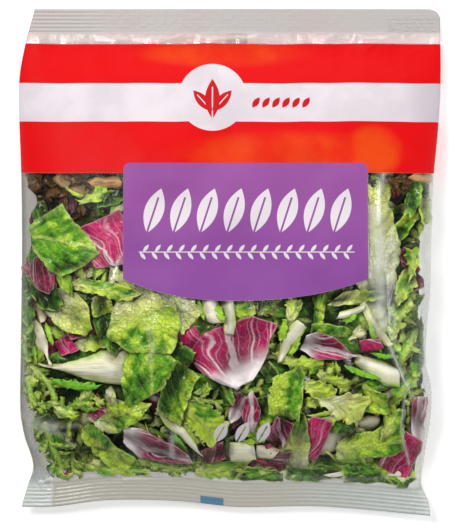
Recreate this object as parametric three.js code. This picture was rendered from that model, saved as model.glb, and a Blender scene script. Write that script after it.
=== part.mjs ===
// A pillow bag of salad leaves, lying on its back: one tube of film, crimped shut at both ends.
// Millimetres, +Z up. The origin is on the floor under the middle of the bag, +Y runs to the head end.

import * as THREE from "three";

// Driving dimensions
const LAY_WIDTH = 240; // widest place of the filled bag, across X
const LENGTH = 289; // from the cut edge of one seal to the cut edge of the other, along Y

const RIB_PITCH = 2.2; // crimp ribs of the seals
const RIB_COUNT = 6;
const RIB_HEIGHT = 0.35;
const SEAL_THICKNESS = 1.0;

const COLUMNS = 40; // grid cells across the bag
const BODY_ROWS = 36; // grid cells along the filled part
const EDGE_CROWDING = 1.3; // packs the columns closer towards the rounded sides
const END_CROWDING = 1.05; // packs the rows closer towards the seals

// Places along Y
const FOOT = -LENGTH / 2 + 3;
const HEAD = LENGTH / 2 - 0.5;
const SEAL_DEPTH = RIB_PITCH * RIB_COUNT;

// The side outlines, as seen from above: [y, x] from the foot to the head.
const LEFT_SIDE = [
  [-140, -118.2],
  [-129, -115.0],
  [-117, -111.9],
  [-99, -116.8],
  [-84, -118.9],
  [-49, -118.5],
  [7, -117.9],
  [50, -118.5],
  [101, -120.0],
  [124, -116.5],
  [144, -111.1],
];
const RIGHT_SIDE = [
  [-145, 114.5],
  [-134, 113.1],
  [-124, 109.1],
  [-110, 110.7],
  [-88, 114.1],
  [-71, 114.3],
  [-59, 111.5],
  [-45, 111.4],
  [-16, 113.7],
  [13, 114.4],
  [48, 115.8],
  [75, 118.4],
  [101, 120.0],
  [137.5, 119.9],
  [140.5, 119.3],
  [142.6, 117.6],
  [144, 114.6],
];

// How far the foot seal's cut edge strays from a straight line: [x, offset along y].
const FOOT_EDGE = [
  [-119, 1.9],
  [-100, 2.1],
  [-70, 5.8],
  [-31, 5.4],
  [4, 1.9],
  [51, 2.2],
  [115, -3.2],
];
const FOOT_EDGE_REACH = 60; // the stray fades out this far up the bag

// Heights above the floor along the bag: [y, underside, seam at the sides, top].
const PROFILE = [
  [FOOT, 8.5, 9, 9.5],
  [FOOT + SEAL_DEPTH, 8.5, 9, 9.5],
  [-119, 4.5, 9.5, 16],
  [-106, 0, 12, 30],
  [-86, 0, 17, 44],
  [-50, 0, 21, 51],
  [0, 0, 20, 49],
  [40, 0, 17, 42],
  [75, 0, 13, 32],
  [103, 0, 9.5, 20],
  [120, 3, 7.5, 10.5],
  [HEAD - SEAL_DEPTH, 6, 6.5, 7],
  [HEAD, 6, 6.5, 7],
];
const TOP_ROUNDING = 2.6;
const UNDERSIDE_ROUNDING = 4;
const UNDERSIDE_FLATNESS = 1.1; // above 1, the middle of the underside lies flat on the floor

// Relief of the top film over the leaves
const LUMP_HEIGHT = 3.2;
const LUMP_WIDTH = 32;
const PUCKER_HEIGHT = 4.0;
const PUCKER_WIDTH = 11;
const PUCKER_REACH = 13;
const SEAL_SWAY = 2.4; // the seals wave up and down
const SEAL_SWAY_WIDTH = 70;

// A long crease runs down the right side: [y, x] of its ridge.
const CREASE = [
  [-115, 102.5],
  [-71, 99.6],
  [-47, 90.5],
  [-21, 88.8],
  [50, 84.9],
];
const CREASE_HEIGHT = 3.0;
const CREASE_WIDTH = 5;

// A pinch folds the film in at the left side.
const PINCH = { x: -118, y: -88, slope: -0.42, reach: 26, width: 6, depth: 3.2 };

const smooth = (t) => t * t * (3 - 2 * t);
const clamp = (t, low, high) => Math.min(high, Math.max(low, t));

// A smooth curve through a table's rows, giving its value in the named column.
function along(table, place, column = 1) {
  const last = table.length - 1;
  const at = clamp(place, table[0][0], table[last][0]);
  let i = 0;
  while (i < last - 1 && table[i + 1][0] < at) i++;
  const gap = table[i + 1][0] - table[i][0];
  const slope = (k) => {
    const a = table[Math.max(k - 1, 0)];
    const b = table[Math.min(k + 1, last)];
    return (b[column] - a[column]) / (b[0] - a[0]);
  };
  const t = (at - table[i][0]) / gap;
  const [low, high] = [table[i][column], table[i + 1][column]];
  const flat = low === high;
  const [leaving, arriving] = flat ? [0, 0] : [slope(i) * gap, slope(i + 1) * gap];
  const rise = high - low;
  return low + t * leaving + t * t * (3 * rise - 2 * leaving - arriving) + t * t * t * (leaving + arriving - 2 * rise);
}

// Repeatable value noise between -1 and 1.
function scatter(i, j) {
  const s = Math.sin(i * 127.1 + j * 311.7) * 43758.5453;
  return 2 * (s - Math.floor(s)) - 1;
}

function noise(x, y) {
  const [i, j] = [Math.floor(x), Math.floor(y)];
  const [u, v] = [smooth(x - i), smooth(y - j)];
  const near = scatter(i, j) * (1 - u) + scatter(i + 1, j) * u;
  const far = scatter(i, j + 1) * (1 - u) + scatter(i + 1, j + 1) * u;
  return near * (1 - v) + far * v;
}

// How full the bag is at y, from 0 in the seals to 1 over the leaves.
function filling(y) {
  const full = along(PROFILE, 0, 3) - along(PROFILE, 0, 1);
  return clamp((along(PROFILE, y, 3) - along(PROFILE, y, 1) - SEAL_THICKNESS) / full, 0, 1);
}

function sealDistance(y) {
  return Math.max(0, Math.min(y - FOOT - SEAL_DEPTH, HEAD - SEAL_DEPTH - y));
}

function lumps(x, y) {
  const broad = noise(x / LUMP_WIDTH, y / LUMP_WIDTH);
  const small = noise((2 * x) / LUMP_WIDTH + 7, (2 * y) / LUMP_WIDTH + 3);
  return LUMP_HEIGHT * (broad + 0.45 * small) * filling(y);
}

// Folds that run out from the seals, across the change from flat to full.
function puckers(x, y) {
  const d = sealDistance(y);
  const fade = Math.exp(-d / PUCKER_REACH) * clamp(d / 4, 0, 1);
  return PUCKER_HEIGHT * noise(x / PUCKER_WIDTH, 5 + Math.sign(y)) * fade;
}

function crease(x, y) {
  const ends = smooth(clamp((y - CREASE[0][0]) / 20, 0, 1)) * smooth(clamp((CREASE.at(-1)[0] + 15 - y) / 30, 0, 1));
  const off = Math.abs(x - along(CREASE, y)) / CREASE_WIDTH;
  return CREASE_HEIGHT * ends * Math.exp(-off);
}

function pinch(x, y) {
  const inward = x - PINCH.x;
  const off = (y - PINCH.y - PINCH.slope * inward) / PINCH.width;
  return -PINCH.depth * Math.exp(-off * off) * smooth(clamp(1 - inward / PINCH.reach, 0, 1));
}

// The crimp, which both faces of a seal follow together.
function ribs(y) {
  if (sealDistance(y) > 0) return 0;
  const depth = y < 0 ? y - FOOT : HEAD - y;
  return -RIB_HEIGHT * Math.cos((2 * Math.PI * depth) / RIB_PITCH);
}

function sway(x, y) {
  return SEAL_SWAY * noise(x / SEAL_SWAY_WIDTH + 2, Math.sign(y) * 3) * Math.exp(-sealDistance(y) / PUCKER_REACH);
}

// A point of the film: side is 1 on top and -1 underneath, s runs from -1 to 1 across.
function filmPoint(s, y, side) {
  const left = along(LEFT_SIDE, y);
  const right = along(RIGHT_SIDE, y);
  const x = left + ((s + 1) / 2) * (right - left);
  const [underside, seam, top] = [1, 2, 3].map((column) => along(PROFILE, y, column));
  const bend = ribs(y) + sway(x, y);
  const stray = along(FOOT_EDGE, x) * smooth(clamp(1 - (y - FOOT) / FOOT_EDGE_REACH, 0, 1));
  let z = seam + bend;
  if (side > 0) {
    const dome = Math.sqrt(1 - Math.abs(s) ** TOP_ROUNDING);
    const relief = lumps(x, y) + puckers(x, y) + crease(x, y) + pinch(x, y);
    z += dome * Math.max(SEAL_THICKNESS / 2, top - seam + relief);
  } else {
    const bowl = Math.min(1, UNDERSIDE_FLATNESS * Math.sqrt(1 - Math.abs(s) ** UNDERSIDE_ROUNDING));
    z = Math.max(0, z - bowl * (seam - underside));
  }
  return [x, y + stray, z];
}

// Evenly numbered stations from -1 to 1, closer together towards the ends.
function crowded(count, crowding) {
  return Array.from({ length: count + 1 }, (_, k) => Math.sin(crowding * ((2 * k) / count - 1)) / Math.sin(crowding));
}

function rowPlaces() {
  const ribRow = (k) => (k * RIB_PITCH) / 2;
  const foot = Array.from({ length: 2 * RIB_COUNT }, (_, k) => FOOT + ribRow(k));
  const [low, high] = [FOOT + SEAL_DEPTH, HEAD - SEAL_DEPTH];
  const body = crowded(BODY_ROWS, END_CROWDING).map((t) => (low + high) / 2 + (t * (high - low)) / 2);
  return [...foot, ...body, ...foot.map((y) => HEAD - (y - FOOT)).reverse()];
}

// Two grids of the same outline share their rim, so the film is one closed surface.
function bagGeometry() {
  const across = crowded(COLUMNS, EDGE_CROWDING);
  const rows = rowPlaces();
  const points = [];
  const grids = [1, -1].map(() => rows.map(() => new Array(COLUMNS + 1)));
  rows.forEach((y, r) =>
    across.forEach((s, c) => {
      const rim = r === 0 || r === rows.length - 1 || c === 0 || c === COLUMNS;
      grids[0][r][c] = points.push(filmPoint(s, y, 1)) - 1;
      grids[1][r][c] = rim ? grids[0][r][c] : points.push(filmPoint(s, y, -1)) - 1;
    }),
  );
  const triangles = [];
  grids.forEach((grid, under) => {
    for (let r = 0; r < rows.length - 1; r++)
      for (let c = 0; c < COLUMNS; c++) {
        const [a, b, d, e] = [grid[r][c], grid[r][c + 1], grid[r + 1][c + 1], grid[r + 1][c]];
        triangles.push(...(under ? [a, d, b, a, e, d] : [a, b, d, a, d, e]));
      }
  });
  return centred(points, triangles);
}

// Puts the middle of the outline over the origin and sizes it to the driving dimensions.
function centred(points, triangles) {
  const geometry = new THREE.BufferGeometry();
  geometry.setAttribute("position", new THREE.Float32BufferAttribute(points.flat(), 3));
  geometry.setIndex(triangles);
  geometry.computeBoundingBox();
  const { min, max } = geometry.boundingBox;
  geometry.translate(-(min.x + max.x) / 2, -(min.y + max.y) / 2, 0);
  geometry.scale(LAY_WIDTH / (max.x - min.x), LENGTH / (max.y - min.y), 1);
  geometry.computeVertexNormals();
  return geometry;
}

const film = new THREE.MeshStandardMaterial({ color: 0x8fb35a, roughness: 0.25, metalness: 0 });
const bag = new THREE.Mesh(bagGeometry(), film);
bag.name = "bag";

const group = new THREE.Group();
group.add(bag);

export default group;
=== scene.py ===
"""A clear bag of mixed salad leaves, lying on its back on a table and seen from above.

Run as a script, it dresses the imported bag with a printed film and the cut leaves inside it.
Lengths are in millimetres and turn into metres where a mesh is made. +Y runs to the head end.
"""

import math

import bpy
import numpy as np
from bpy.props import FloatProperty, FloatVectorProperty, IntProperty, PointerProperty
from bpy.types import Operator, Panel, PropertyGroup
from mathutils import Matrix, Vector


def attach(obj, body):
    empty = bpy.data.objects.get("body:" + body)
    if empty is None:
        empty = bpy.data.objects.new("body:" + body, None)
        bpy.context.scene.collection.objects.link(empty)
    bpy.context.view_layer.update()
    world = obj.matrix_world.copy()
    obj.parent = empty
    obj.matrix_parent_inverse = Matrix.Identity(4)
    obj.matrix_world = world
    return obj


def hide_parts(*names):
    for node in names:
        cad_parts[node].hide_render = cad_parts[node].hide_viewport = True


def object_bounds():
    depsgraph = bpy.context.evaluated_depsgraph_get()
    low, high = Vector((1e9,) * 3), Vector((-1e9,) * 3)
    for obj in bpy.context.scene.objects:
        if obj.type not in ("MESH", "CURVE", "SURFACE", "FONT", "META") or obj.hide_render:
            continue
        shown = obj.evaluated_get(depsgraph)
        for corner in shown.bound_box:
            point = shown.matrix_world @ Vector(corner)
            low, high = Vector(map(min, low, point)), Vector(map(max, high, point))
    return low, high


bl_info = {
    "name": "Bag of salad leaves",
    "version": (1, 0, 0),
    "blender": (4, 5, 0),
    "location": "3D View > Sidebar > Salad bag",
    "description": "Dresses the packed bag with its printed film and the leaves inside it",
    "category": "Object",
}

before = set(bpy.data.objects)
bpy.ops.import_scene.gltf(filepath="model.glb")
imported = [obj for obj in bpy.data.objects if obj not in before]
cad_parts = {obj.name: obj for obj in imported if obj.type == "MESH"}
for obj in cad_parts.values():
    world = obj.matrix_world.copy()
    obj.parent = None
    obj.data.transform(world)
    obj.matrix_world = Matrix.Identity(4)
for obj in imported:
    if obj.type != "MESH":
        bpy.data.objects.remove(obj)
CAD_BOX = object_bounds()
MM = 0.001

# The camera frames what the photograph shows

PHOTO_SCALE = 0.5687  # millimetres to a pixel of the photograph
PHOTO_HEIGHT = 531  # pixels
PHOTO_MIDDLE = (2.96, -1.7)  # the place under the middle of the picture, in millimetres
SEAM_HEIGHT = 12  # the outline's height above the floor
FLOOR_REACH = 6.0  # metres from the middle to the floor's sides
FLOOR_GAP = 0.0002  # metres between the bag and the floor

# Lights, in metres: place, size and tint. All of them point at the bag.
LIGHTS = {
    "key": ((-0.62, 0.62, 1.32), (0.4, 0.65), (1.0, 0.985, 0.96)),
    "fill": ((0.85, -0.1, 0.6), (0.16, 0.8), (0.97, 0.985, 1.0)),
    "back": ((0.1, 0.95, 0.5), (0.8, 0.25), (1.0, 1.0, 1.0)),
}
LIT_PLACE = (0, 0, 0.03)

# The bag's form, as in the part's own source

LENGTH = 289
RIB_PITCH = 2.2
RIB_COUNT = 6
RIB_HEIGHT = 0.35
SEAL_THICKNESS = 1.0
FOOT = -LENGTH / 2 + 3
HEAD = LENGTH / 2 - 0.5
SEAL_DEPTH = RIB_PITCH * RIB_COUNT

# The side outlines, as seen from above: (y, x) from the foot to the head.
LEFT_SIDE = [
    (-140, -118.2),
    (-129, -115.0),
    (-117, -111.9),
    (-99, -116.8),
    (-84, -118.9),
    (-49, -118.5),
    (7, -117.9),
    (50, -118.5),
    (101, -120.0),
    (124, -116.5),
    (144, -111.1),
]
RIGHT_SIDE = [
    (-145, 114.5),
    (-134, 113.1),
    (-124, 109.1),
    (-110, 110.7),
    (-88, 114.1),
    (-71, 114.3),
    (-59, 111.5),
    (-45, 111.4),
    (-16, 113.7),
    (13, 114.4),
    (48, 115.8),
    (75, 118.4),
    (101, 120.0),
    (137.5, 119.9),
    (140.5, 119.3),
    (142.6, 117.6),
    (144, 114.6),
]

# How far the foot seal's cut edge strays from a straight line: (x, offset along y).
FOOT_EDGE = [(-119, 1.9), (-100, 2.1), (-70, 5.8), (-31, 5.4), (4, 1.9), (51, 2.2), (115, -3.2)]
FOOT_EDGE_REACH = 60

# Heights above the floor along the bag: (y, underside, seam at the sides, top).
PROFILE = [
    (FOOT, 8.5, 9, 9.5),
    (FOOT + SEAL_DEPTH, 8.5, 9, 9.5),
    (-119, 4.5, 9.5, 16),
    (-106, 0, 12, 30),
    (-86, 0, 17, 44),
    (-50, 0, 21, 51),
    (0, 0, 20, 49),
    (40, 0, 17, 42),
    (75, 0, 13, 32),
    (103, 0, 9.5, 20),
    (120, 3, 7.5, 10.5),
    (HEAD - SEAL_DEPTH, 6, 6.5, 7),
    (HEAD, 6, 6.5, 7),
]
FULL_HEIGHT = PROFILE[6][3] - PROFILE[6][1]  # of the bag's middle, which counts as full
TOP_ROUNDING = 2.6
UNDERSIDE_ROUNDING = 4
UNDERSIDE_FLATNESS = 1.1

LUMP_HEIGHT = 3.2
LUMP_WIDTH = 32
PUCKER_HEIGHT = 4.0
PUCKER_WIDTH = 11
PUCKER_REACH = 13
SEAL_SWAY = 2.4
SEAL_SWAY_WIDTH = 70
CREASE = [(-115, 102.5), (-71, 99.6), (-47, 90.5), (-21, 88.8), (50, 84.9)]
CREASE_HEIGHT = 3.0
CREASE_WIDTH = 5
PINCH = {"x": -118, "y": -88, "slope": -0.42, "reach": 26, "width": 6, "depth": 3.2}

# The film's own mesh, finer than the part's solid

FILM_COLUMNS = 180
FILM_BODY_ROWS = 168
FILM_ROWS_PER_RIB = 5
CRINKLE_UNIT = 0.35 * MM  # the ripples' height at which film_creases gives millimetres
EDGE_CROWDING = 1.3
END_CROWDING = 1.05
FILM_THICKNESS = 0.25
# The underside's cloud shows painted grey shade on the left and near the foot and plain cloudy film on the
# right; the rim's cloud shows it on the left.
UNDERSIDE_CLOUD_AND_SHADE = ((-112, -70, 110), (0.55, 0.35, 0.16))  # how cloudy the underside is: places x, shares
RIM_VEIL = 0.34  # how cloudy the film is where it turns at the sides
FILM_GAP = 0.9  # from the film to the nearest leaf

# Folds of the film that catch the light: points, width, height and how much they cloud the film.
# The cloud is a lit whitish film colour: partly the real whitening of a fold, partly a painted highlight for
# its glints.
FOLDS = [
    ([(84.9, 50), (87.5, 13), (88.8, -21), (90.5, -47), (99.6, -71)], 3.6, 0.5, 0.1),
    ([(98.8, -73), (96.8, -95), (101.9, -115)], 0.7, 0.5, 0.6),
    ([(99.6, -71), (95, -60), (90, -48)], 1.1, 0.9, 0.5),
    ([(99.6, -71), (106, -68)], 1.0, 0.7, 0.3),
    ([(99.6, -71), (104, -77)], 1.0, 0.7, 0.3),
    ([(86.5, 49), (84.5, 36), (85.5, 24)], 1.3, 0.5, 0.5),
    ([(82, 28), (83.5, 6), (84.5, -14), (85.5, -36)], 4.8, 0.4, 0.56),
    ([(91.5, 20), (90.5, 8)], 1.7, 0.5, 0.42),
    ([(-118, -87), (-108, -92), (-99, -94)], 3.4, 1.5, 0.5),
    ([(-99, -94), (-86, -92)], 1.2, 0.7, 0.3),
    ([(-98, -95), (-88, -104)], 1.2, 0.7, 0.25),
    ([(-112, -108), (-108, -117), (-104, -124)], 1.2, 0.9, 0.35),
    ([(-106, -106), (-103, -114)], 0.9, 0.7, 0.3),
    ([(-32, -94), (-33, -110)], 1.4, 0.5, 0.4),
    ([(0.5, -20), (0.8, -39)], 1.3, 0.4, 0.35),
    ([(64, -50), (67, -58)], 1.2, 0.5, 0.4),
    ([(-45, -37), (-42, -48), (-46, -56)], 1.3, 0.5, 0.28),
    ([(-62, 2), (-66, -12)], 1.0, 0.4, 0.2),
    ([(-75, 128), (-60, 126.5), (-44, 128)], 0.9, 0.4, 0.2),
    ([(-40, 127), (-20, 128.5), (0, 127)], 0.9, 0.4, 0.2),
    ([(86, 126), (78, 121)], 0.9, 0.6, 0.25),
    ([(-60, -124), (-30, -123), (-12, -124)], 1.0, 0.4, 0.2),
    ([(24, -122), (60, -124), (90, -123)], 1.0, 0.6, 0.2),
    ([(-102, -119), (-101, -129), (-102, -141)], 0.7, 0.4, 0.4),
    ([(-115, -124), (-108, -126), (-102, -124)], 0.8, 0.6, 0.4),
    ([(-112, -120), (-107, -128)], 0.8, 0.6, 0.35),
]

# Where the print lies, on the flat of the film

BAND_TOP = 124.0
BAND_BOTTOM = 50.0
STRIPE_TOP = 101.2
STRIPE_BOTTOM = 79.2
LABEL_LEFT = -59.9
LABEL_RIGHT = 77.8
LABEL_TOP = 55.6
LABEL_LOW = -21.9  # lowest place of the curved lower edge
LABEL_LOW_X = 3.0
LABEL_SIDE_RISE = 12.0
LABEL_CORNER = 3.5
FIN_WIDTH = 12.0  # of the long seam down the middle of the underside
FIN_MIDDLE = 4.0
PRINT_EDGE = 0.15  # how far the edge of a field of ink blends to each side
LEAF_EDGE = 0.12  # the same for the small printed leaves
BADGE = (-9.8, 93.1)
BADGE_RADIUS = 19.2
SPRIG = [  # leaves on the badge: place from its middle, turn, half length, half width, vein
    ((0.0, -1.0), 90, 11.5, 4.2, 0.35),
    ((5.4, -2.2), 48, 8.2, 3.1, 0.3),
    ((-5.4, -2.2), 132, 8.2, 3.1, 0.3),
]

# Rows of printed leaves: start, end, how many, height, half length and half width, lean, vein.
SMALL_ROW = (12.0, 46.0, 6, 90.0, (3.6, 1.7), 55, 0.0)
LABEL_ROW = (-50.0, 70.0, 8, 28.6, (13.2, 5.4), 72, 0.55)
FOOT_ROW = (-11.0, 25.0, 3, -96.5, (7.0, 3.4), 62, 0.45)
LABEL_TWIG = (-51.0, 70.0, 18, 5.4)

# Small oblongs: middle and half sizes.
FOOT_MARK = (-10.2, -139.2, 6.6, 2.1)
HEAD_STAMP = (104.0, 134.0, 15.0, 6.0)

# Where leaves show through the band: middle, half sizes, where the glow is full and how strong it is.
BAND_GLOWS = [
    (-4.0, 118.0, 56.0, 9.0, 0.9, 0.8),
    (34.0, 61.0, 74.0, 15.0, 0.9, 0.8),
    (81.0, 62.0, 19.0, 17.0, 0.7, 1.0),
]

# How far the leaves reach towards the sides: (y, x).
LEFT_REACH = [
    (-124, -101),
    (-115, -106.5),
    (-104, -110.5),
    (-92, -113),
    (-78, -117.5),
    (-60, -118.2),
    (-3, -118),
    (4, -115.5),
    (10, -112),
    (16, -113),
    (22, -116.5),
    (27, -114),
    (32, -109.5),
    (38, -110.5),
    (45, -117),
    (60, -118.2),
    (120, -118.2),
]
RIGHT_REACH = [
    (-124, 107),
    (-113, 108),
    (-98, 112),
    (-78, 113.5),
    (-60, 111),
    (-45, 110),
    (-30, 111),
    (-10, 110),
    (5, 108.5),
    (14, 111.5),
    (24, 115),
    (120, 117),
]
FOOT_REACH = [
    (-120, -122),
    (-100, -124),
    (-60, -127),
    (0, -127),
    (60, -128),
    (94, -130),
    (104, -133),
    (114, -129),
]
LEAF_HEAD = 113
SIDE_SOFTNESS = 1.1  # leaves crowd together over this width before they meet the film

CELL = 1.0  # of the grid that keeps how deep the leaves reach
GRID_LEFT = -124
GRID_FOOT = -149
GRID_COLUMNS = 249
GRID_ROWS = 299
SLOPE = 0.9  # the steepest that a leaf dips to pass under another
LEAF_GAP = 0.25
CURLY_LIFT = 0.22  # curly leaves are this much brighter than the table says
CREST_SHARE = 90  # per cent of a leaf lies lower than the part that touches the film
RIB_OUTLINES = ["oval", "wedge", "spear"]
LEAF_OUTLINES = ["quad", "fan", "oval", "drop", "strip"]
SPRIG_KINDS = ["curly", "heart", "curly", "heart", "rib", "broad"]
KIND_SHARES = {"broad": 0.36, "curly": 0.2, "heart": 0.14, "red": 0.13, "rib": 0.17}
PLACES_TRIED = 24  # before a scattered leaf takes the emptiest of them

# The green leaves' materials: name, space between side veins, scale of the net, height of the relief
# in millimetres, how much the pale rim with its painted highlight shows and how dark the painted shade in the
# valleys is.
GREEN_LOOKS = {
    "broad": ("green_leaf", 7.0, 0.46, 2.1, 0.5, 0.85),
    "curly": ("curly_leaf", 4.0, 0.8, 1.1, 0.6, 0.65),
    "heart": ("heart_leaf", 4.0, 0.8, 1.1, 0.7, 0.4),
}
# Painted shade: leaves that lie deep are darkened in their colour, as less light reaches them.
PAINTED_SHADE_DEPTHS = (2.2, 11.5)  # leaves go dark between these depths under the film
PAINTED_SHADE_SHARE = 0.93

# How scattered leaves lie: range of depths, range of distances from the rim, coarseness of the mesh.
SPRIG_LAYER = ((1.2, 4.0), (0.3, 2.0), 1.15)
FILLER_LAYER = ((2.0, 8.0), (1.0, 4.5), 1.55)


def shade(red, green, blue):
    """A colour as a chart names it, 0 to 255, in the linear values that Blender keeps."""
    parts = [value / 255 for value in (red, green, blue)]
    return tuple(v / 12.92 if v <= 0.04045 else ((v + 0.055) / 1.055) ** 2.4 for v in parts)


# Numbers


def smooth(t):
    return t * t * (3 - 2 * t)


def along(table, place, column=1):
    """A smooth curve through a table's rows, read at many places."""
    rows = np.array(table, float)
    keys, values = rows[:, 0], rows[:, column]
    after = np.minimum(np.arange(len(keys)) + 1, len(keys) - 1)
    before = np.maximum(np.arange(len(keys)) - 1, 0)
    slopes = (values[after] - values[before]) / (keys[after] - keys[before])
    at = np.clip(place, keys[0], keys[-1])
    i = np.clip(np.searchsorted(keys, at, side="left") - 1, 0, len(keys) - 2)
    gap = keys[i + 1] - keys[i]
    t = (at - keys[i]) / gap
    low, rise = values[i], values[i + 1] - values[i]
    leaving = np.where(rise == 0, 0, slopes[i] * gap)
    arriving = np.where(rise == 0, 0, slopes[i + 1] * gap)
    square, cube = 3 * rise - 2 * leaving - arriving, leaving + arriving - 2 * rise
    return low + t * leaving + t**2 * square + t**3 * cube


def scatter(i, j):
    """A number from -1 to 1 for each pair of whole numbers, always the same."""
    s = np.sin(i * 127.1 + j * 311.7) * 43758.5453
    return 2 * (s - np.floor(s)) - 1


def noise(x, y):
    """Repeatable value noise between -1 and 1."""
    x, y = np.broadcast_arrays(np.asarray(x, float), np.asarray(y, float))
    i, j = np.floor(x), np.floor(y)
    u, v = smooth(x - i), smooth(y - j)
    near = scatter(i, j) * (1 - u) + scatter(i + 1, j) * u
    far = scatter(i, j + 1) * (1 - u) + scatter(i + 1, j + 1) * u
    return near * (1 - v) + far * v


def crowded(count, crowding):
    """Stations from -1 to 1, closer together towards the ends."""
    return np.sin(crowding * (2 * np.arange(count + 1) / count - 1)) / math.sin(crowding)


def distance_to_path(x, y, points):
    """How far each place is from a line through the points."""
    nearest = np.full(np.shape(x), np.inf)
    for (ax, ay), (bx, by) in zip(points, points[1:]):
        dx, dy = bx - ax, by - ay
        t = np.clip(((x - ax) * dx + (y - ay) * dy) / (dx * dx + dy * dy), 0, 1)
        nearest = np.minimum(nearest, np.hypot(x - ax - t * dx, y - ay - t * dy))
    return nearest


# The bag's form


def seal_distance(y):
    """Distance from the nearer seal, 0 on it."""
    return np.maximum(0, np.minimum(y - FOOT - SEAL_DEPTH, HEAD - SEAL_DEPTH - y))


def filling(y):
    """How full the bag is: 1 in its middle and 0 at the seals."""
    return np.clip((along(PROFILE, y, 3) - along(PROFILE, y, 1) - SEAL_THICKNESS) / FULL_HEIGHT, 0, 1)


def relief(x, y):
    """What stands on the top film's smooth dome: lumps, puckers, the long crease and the pinch."""
    broad = noise(x / LUMP_WIDTH, y / LUMP_WIDTH)
    small = noise(2 * x / LUMP_WIDTH + 7, 2 * y / LUMP_WIDTH + 3)
    lumps = LUMP_HEIGHT * (broad + 0.45 * small) * filling(y)

    d = seal_distance(y)
    fade = np.exp(-d / PUCKER_REACH) * np.clip(d / 4, 0, 1)
    puckers = PUCKER_HEIGHT * noise(x / PUCKER_WIDTH, 5 + np.sign(y)) * fade

    foot_end = smooth(np.clip((y - CREASE[0][0]) / 20, 0, 1))
    head_end = smooth(np.clip((CREASE[-1][0] + 15 - y) / 30, 0, 1))
    crease = CREASE_HEIGHT * foot_end * head_end * np.exp(-np.abs(x - along(CREASE, y)) / CREASE_WIDTH)

    inward = x - PINCH["x"]
    off = (y - PINCH["y"] - PINCH["slope"] * inward) / PINCH["width"]
    pinch = -PINCH["depth"] * np.exp(-off * off) * smooth(np.clip(1 - inward / PINCH["reach"], 0, 1))
    return lumps + puckers + crease + pinch


def ribs(y):
    """The crimp of the seals."""
    depth = np.where(y < 0, y - FOOT, HEAD - y)
    return np.where(seal_distance(y) > 0, 0, -RIB_HEIGHT * np.cos(2 * math.pi * depth / RIB_PITCH))


def crimp_left(x, y):
    """How much of the crimp still shows: most at the corners, least in the middle of the head seal."""
    head = 0.06 + 0.5 * smooth(np.clip((-62 - x) / 30, 0, 1)) + 0.12 * smooth(np.clip((x - 94) / 8, 0, 1))
    corners = smooth(np.clip((-70 - x) / 30, 0, 1)) + smooth(np.clip((x - 30) / 40, 0, 1))
    foot = (0.22 + 0.4 * corners) * smooth(np.clip((FOOT + SEAL_DEPTH - y) / 4, 0, 1))
    return np.where(y > 0, head, foot)


def seal_bend(x, y):
    """The crimp and the slow sway of the seals, which both faces follow."""
    sway = SEAL_SWAY * noise(x / SEAL_SWAY_WIDTH + 2, np.sign(y) * 3)
    return ribs(y) + sway * np.exp(-seal_distance(y) / PUCKER_REACH)


def stray(x, y):
    """How far the slanting cut of the foot seal moves a place along the bag."""
    return along(FOOT_EDGE, x) * smooth(np.clip(1 - (y - FOOT) / FOOT_EDGE_REACH, 0, 1))


def film_height(x, s, y, side):
    """Height of the top film (side 1) or the underside film (side -1), at share s across the bag."""
    seam = along(PROFILE, y, 2)
    z = seam + seal_bend(x, y)
    if side > 0:
        dome = np.sqrt(np.maximum(0, 1 - np.abs(s) ** TOP_ROUNDING))
        return z + dome * np.maximum(SEAL_THICKNESS / 2, along(PROFILE, y, 3) - seam + relief(x, y))
    bowl = UNDERSIDE_FLATNESS * np.sqrt(np.maximum(0, 1 - np.abs(s) ** UNDERSIDE_ROUNDING))
    return np.maximum(0, z - np.minimum(1, bowl) * (seam - along(PROFILE, y, 1)))


def fit_to_frame(points):
    """The part's source ends by moving its outline over the origin, and so does this."""
    left = min(x for _, x in LEFT_SIDE)
    right = max(x for _, x in RIGHT_SIDE)
    foot, head = FOOT + FOOT_EDGE[-1][1], HEAD
    shifted = np.array(points, float)
    low, high = CAD_BOX
    for axis, (start, end) in enumerate(((left, right), (foot, head))):
        share = (shifted[..., axis] - start) / (end - start)
        shifted[..., axis] = (low[axis] + share * (high[axis] - low[axis])) / MM
    return shifted


# Meshes


def new_mesh_object(name, points, faces, attributes, material):
    """A smooth mesh from points in millimetres, four-sided faces and values for each point."""
    mesh = bpy.data.meshes.new(name)
    mesh.vertices.add(len(points))
    mesh.vertices.foreach_set("co", (fit_to_frame(points) * MM).astype(np.float32).ravel())
    mesh.loops.add(faces.size)
    mesh.loops.foreach_set("vertex_index", faces.astype(np.int32).ravel())
    mesh.polygons.add(len(faces))
    mesh.polygons.foreach_set("loop_start", np.arange(0, faces.size, 4, dtype=np.int32))
    mesh.polygons.foreach_set("use_smooth", np.ones(len(faces), bool))
    for label, values in attributes.items():
        kind = "FLOAT_VECTOR" if values.ndim == 2 else "FLOAT"
        layer = mesh.attributes.new(label, kind, "POINT")
        layer.data.foreach_set("vector" if values.ndim == 2 else "value", values.astype(np.float32).ravel())
    mesh.update(calc_edges=True)
    mesh.materials.append(material)
    piece = bpy.data.objects.new(name, mesh)
    bpy.context.scene.collection.objects.link(piece)
    return piece


def two_faced_grid(rows, columns):
    """Faces of two grids that share their rim, and which points of the second grid are its own."""
    upper = np.arange(rows * columns).reshape(rows, columns)
    inner = np.zeros((rows, columns), bool)
    inner[1:-1, 1:-1] = True
    lower = upper.copy()
    lower[inner] = rows * columns + np.arange(inner.sum())

    def quads(grid, flipped):
        corners = [grid[:-1, :-1], grid[:-1, 1:], grid[1:, 1:], grid[1:, :-1]]
        if flipped:
            corners = corners[::-1]
        return np.stack([c.ravel() for c in corners], axis=1)

    return np.concatenate([quads(upper, False), quads(lower, True)]), inner


# Materials


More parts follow.
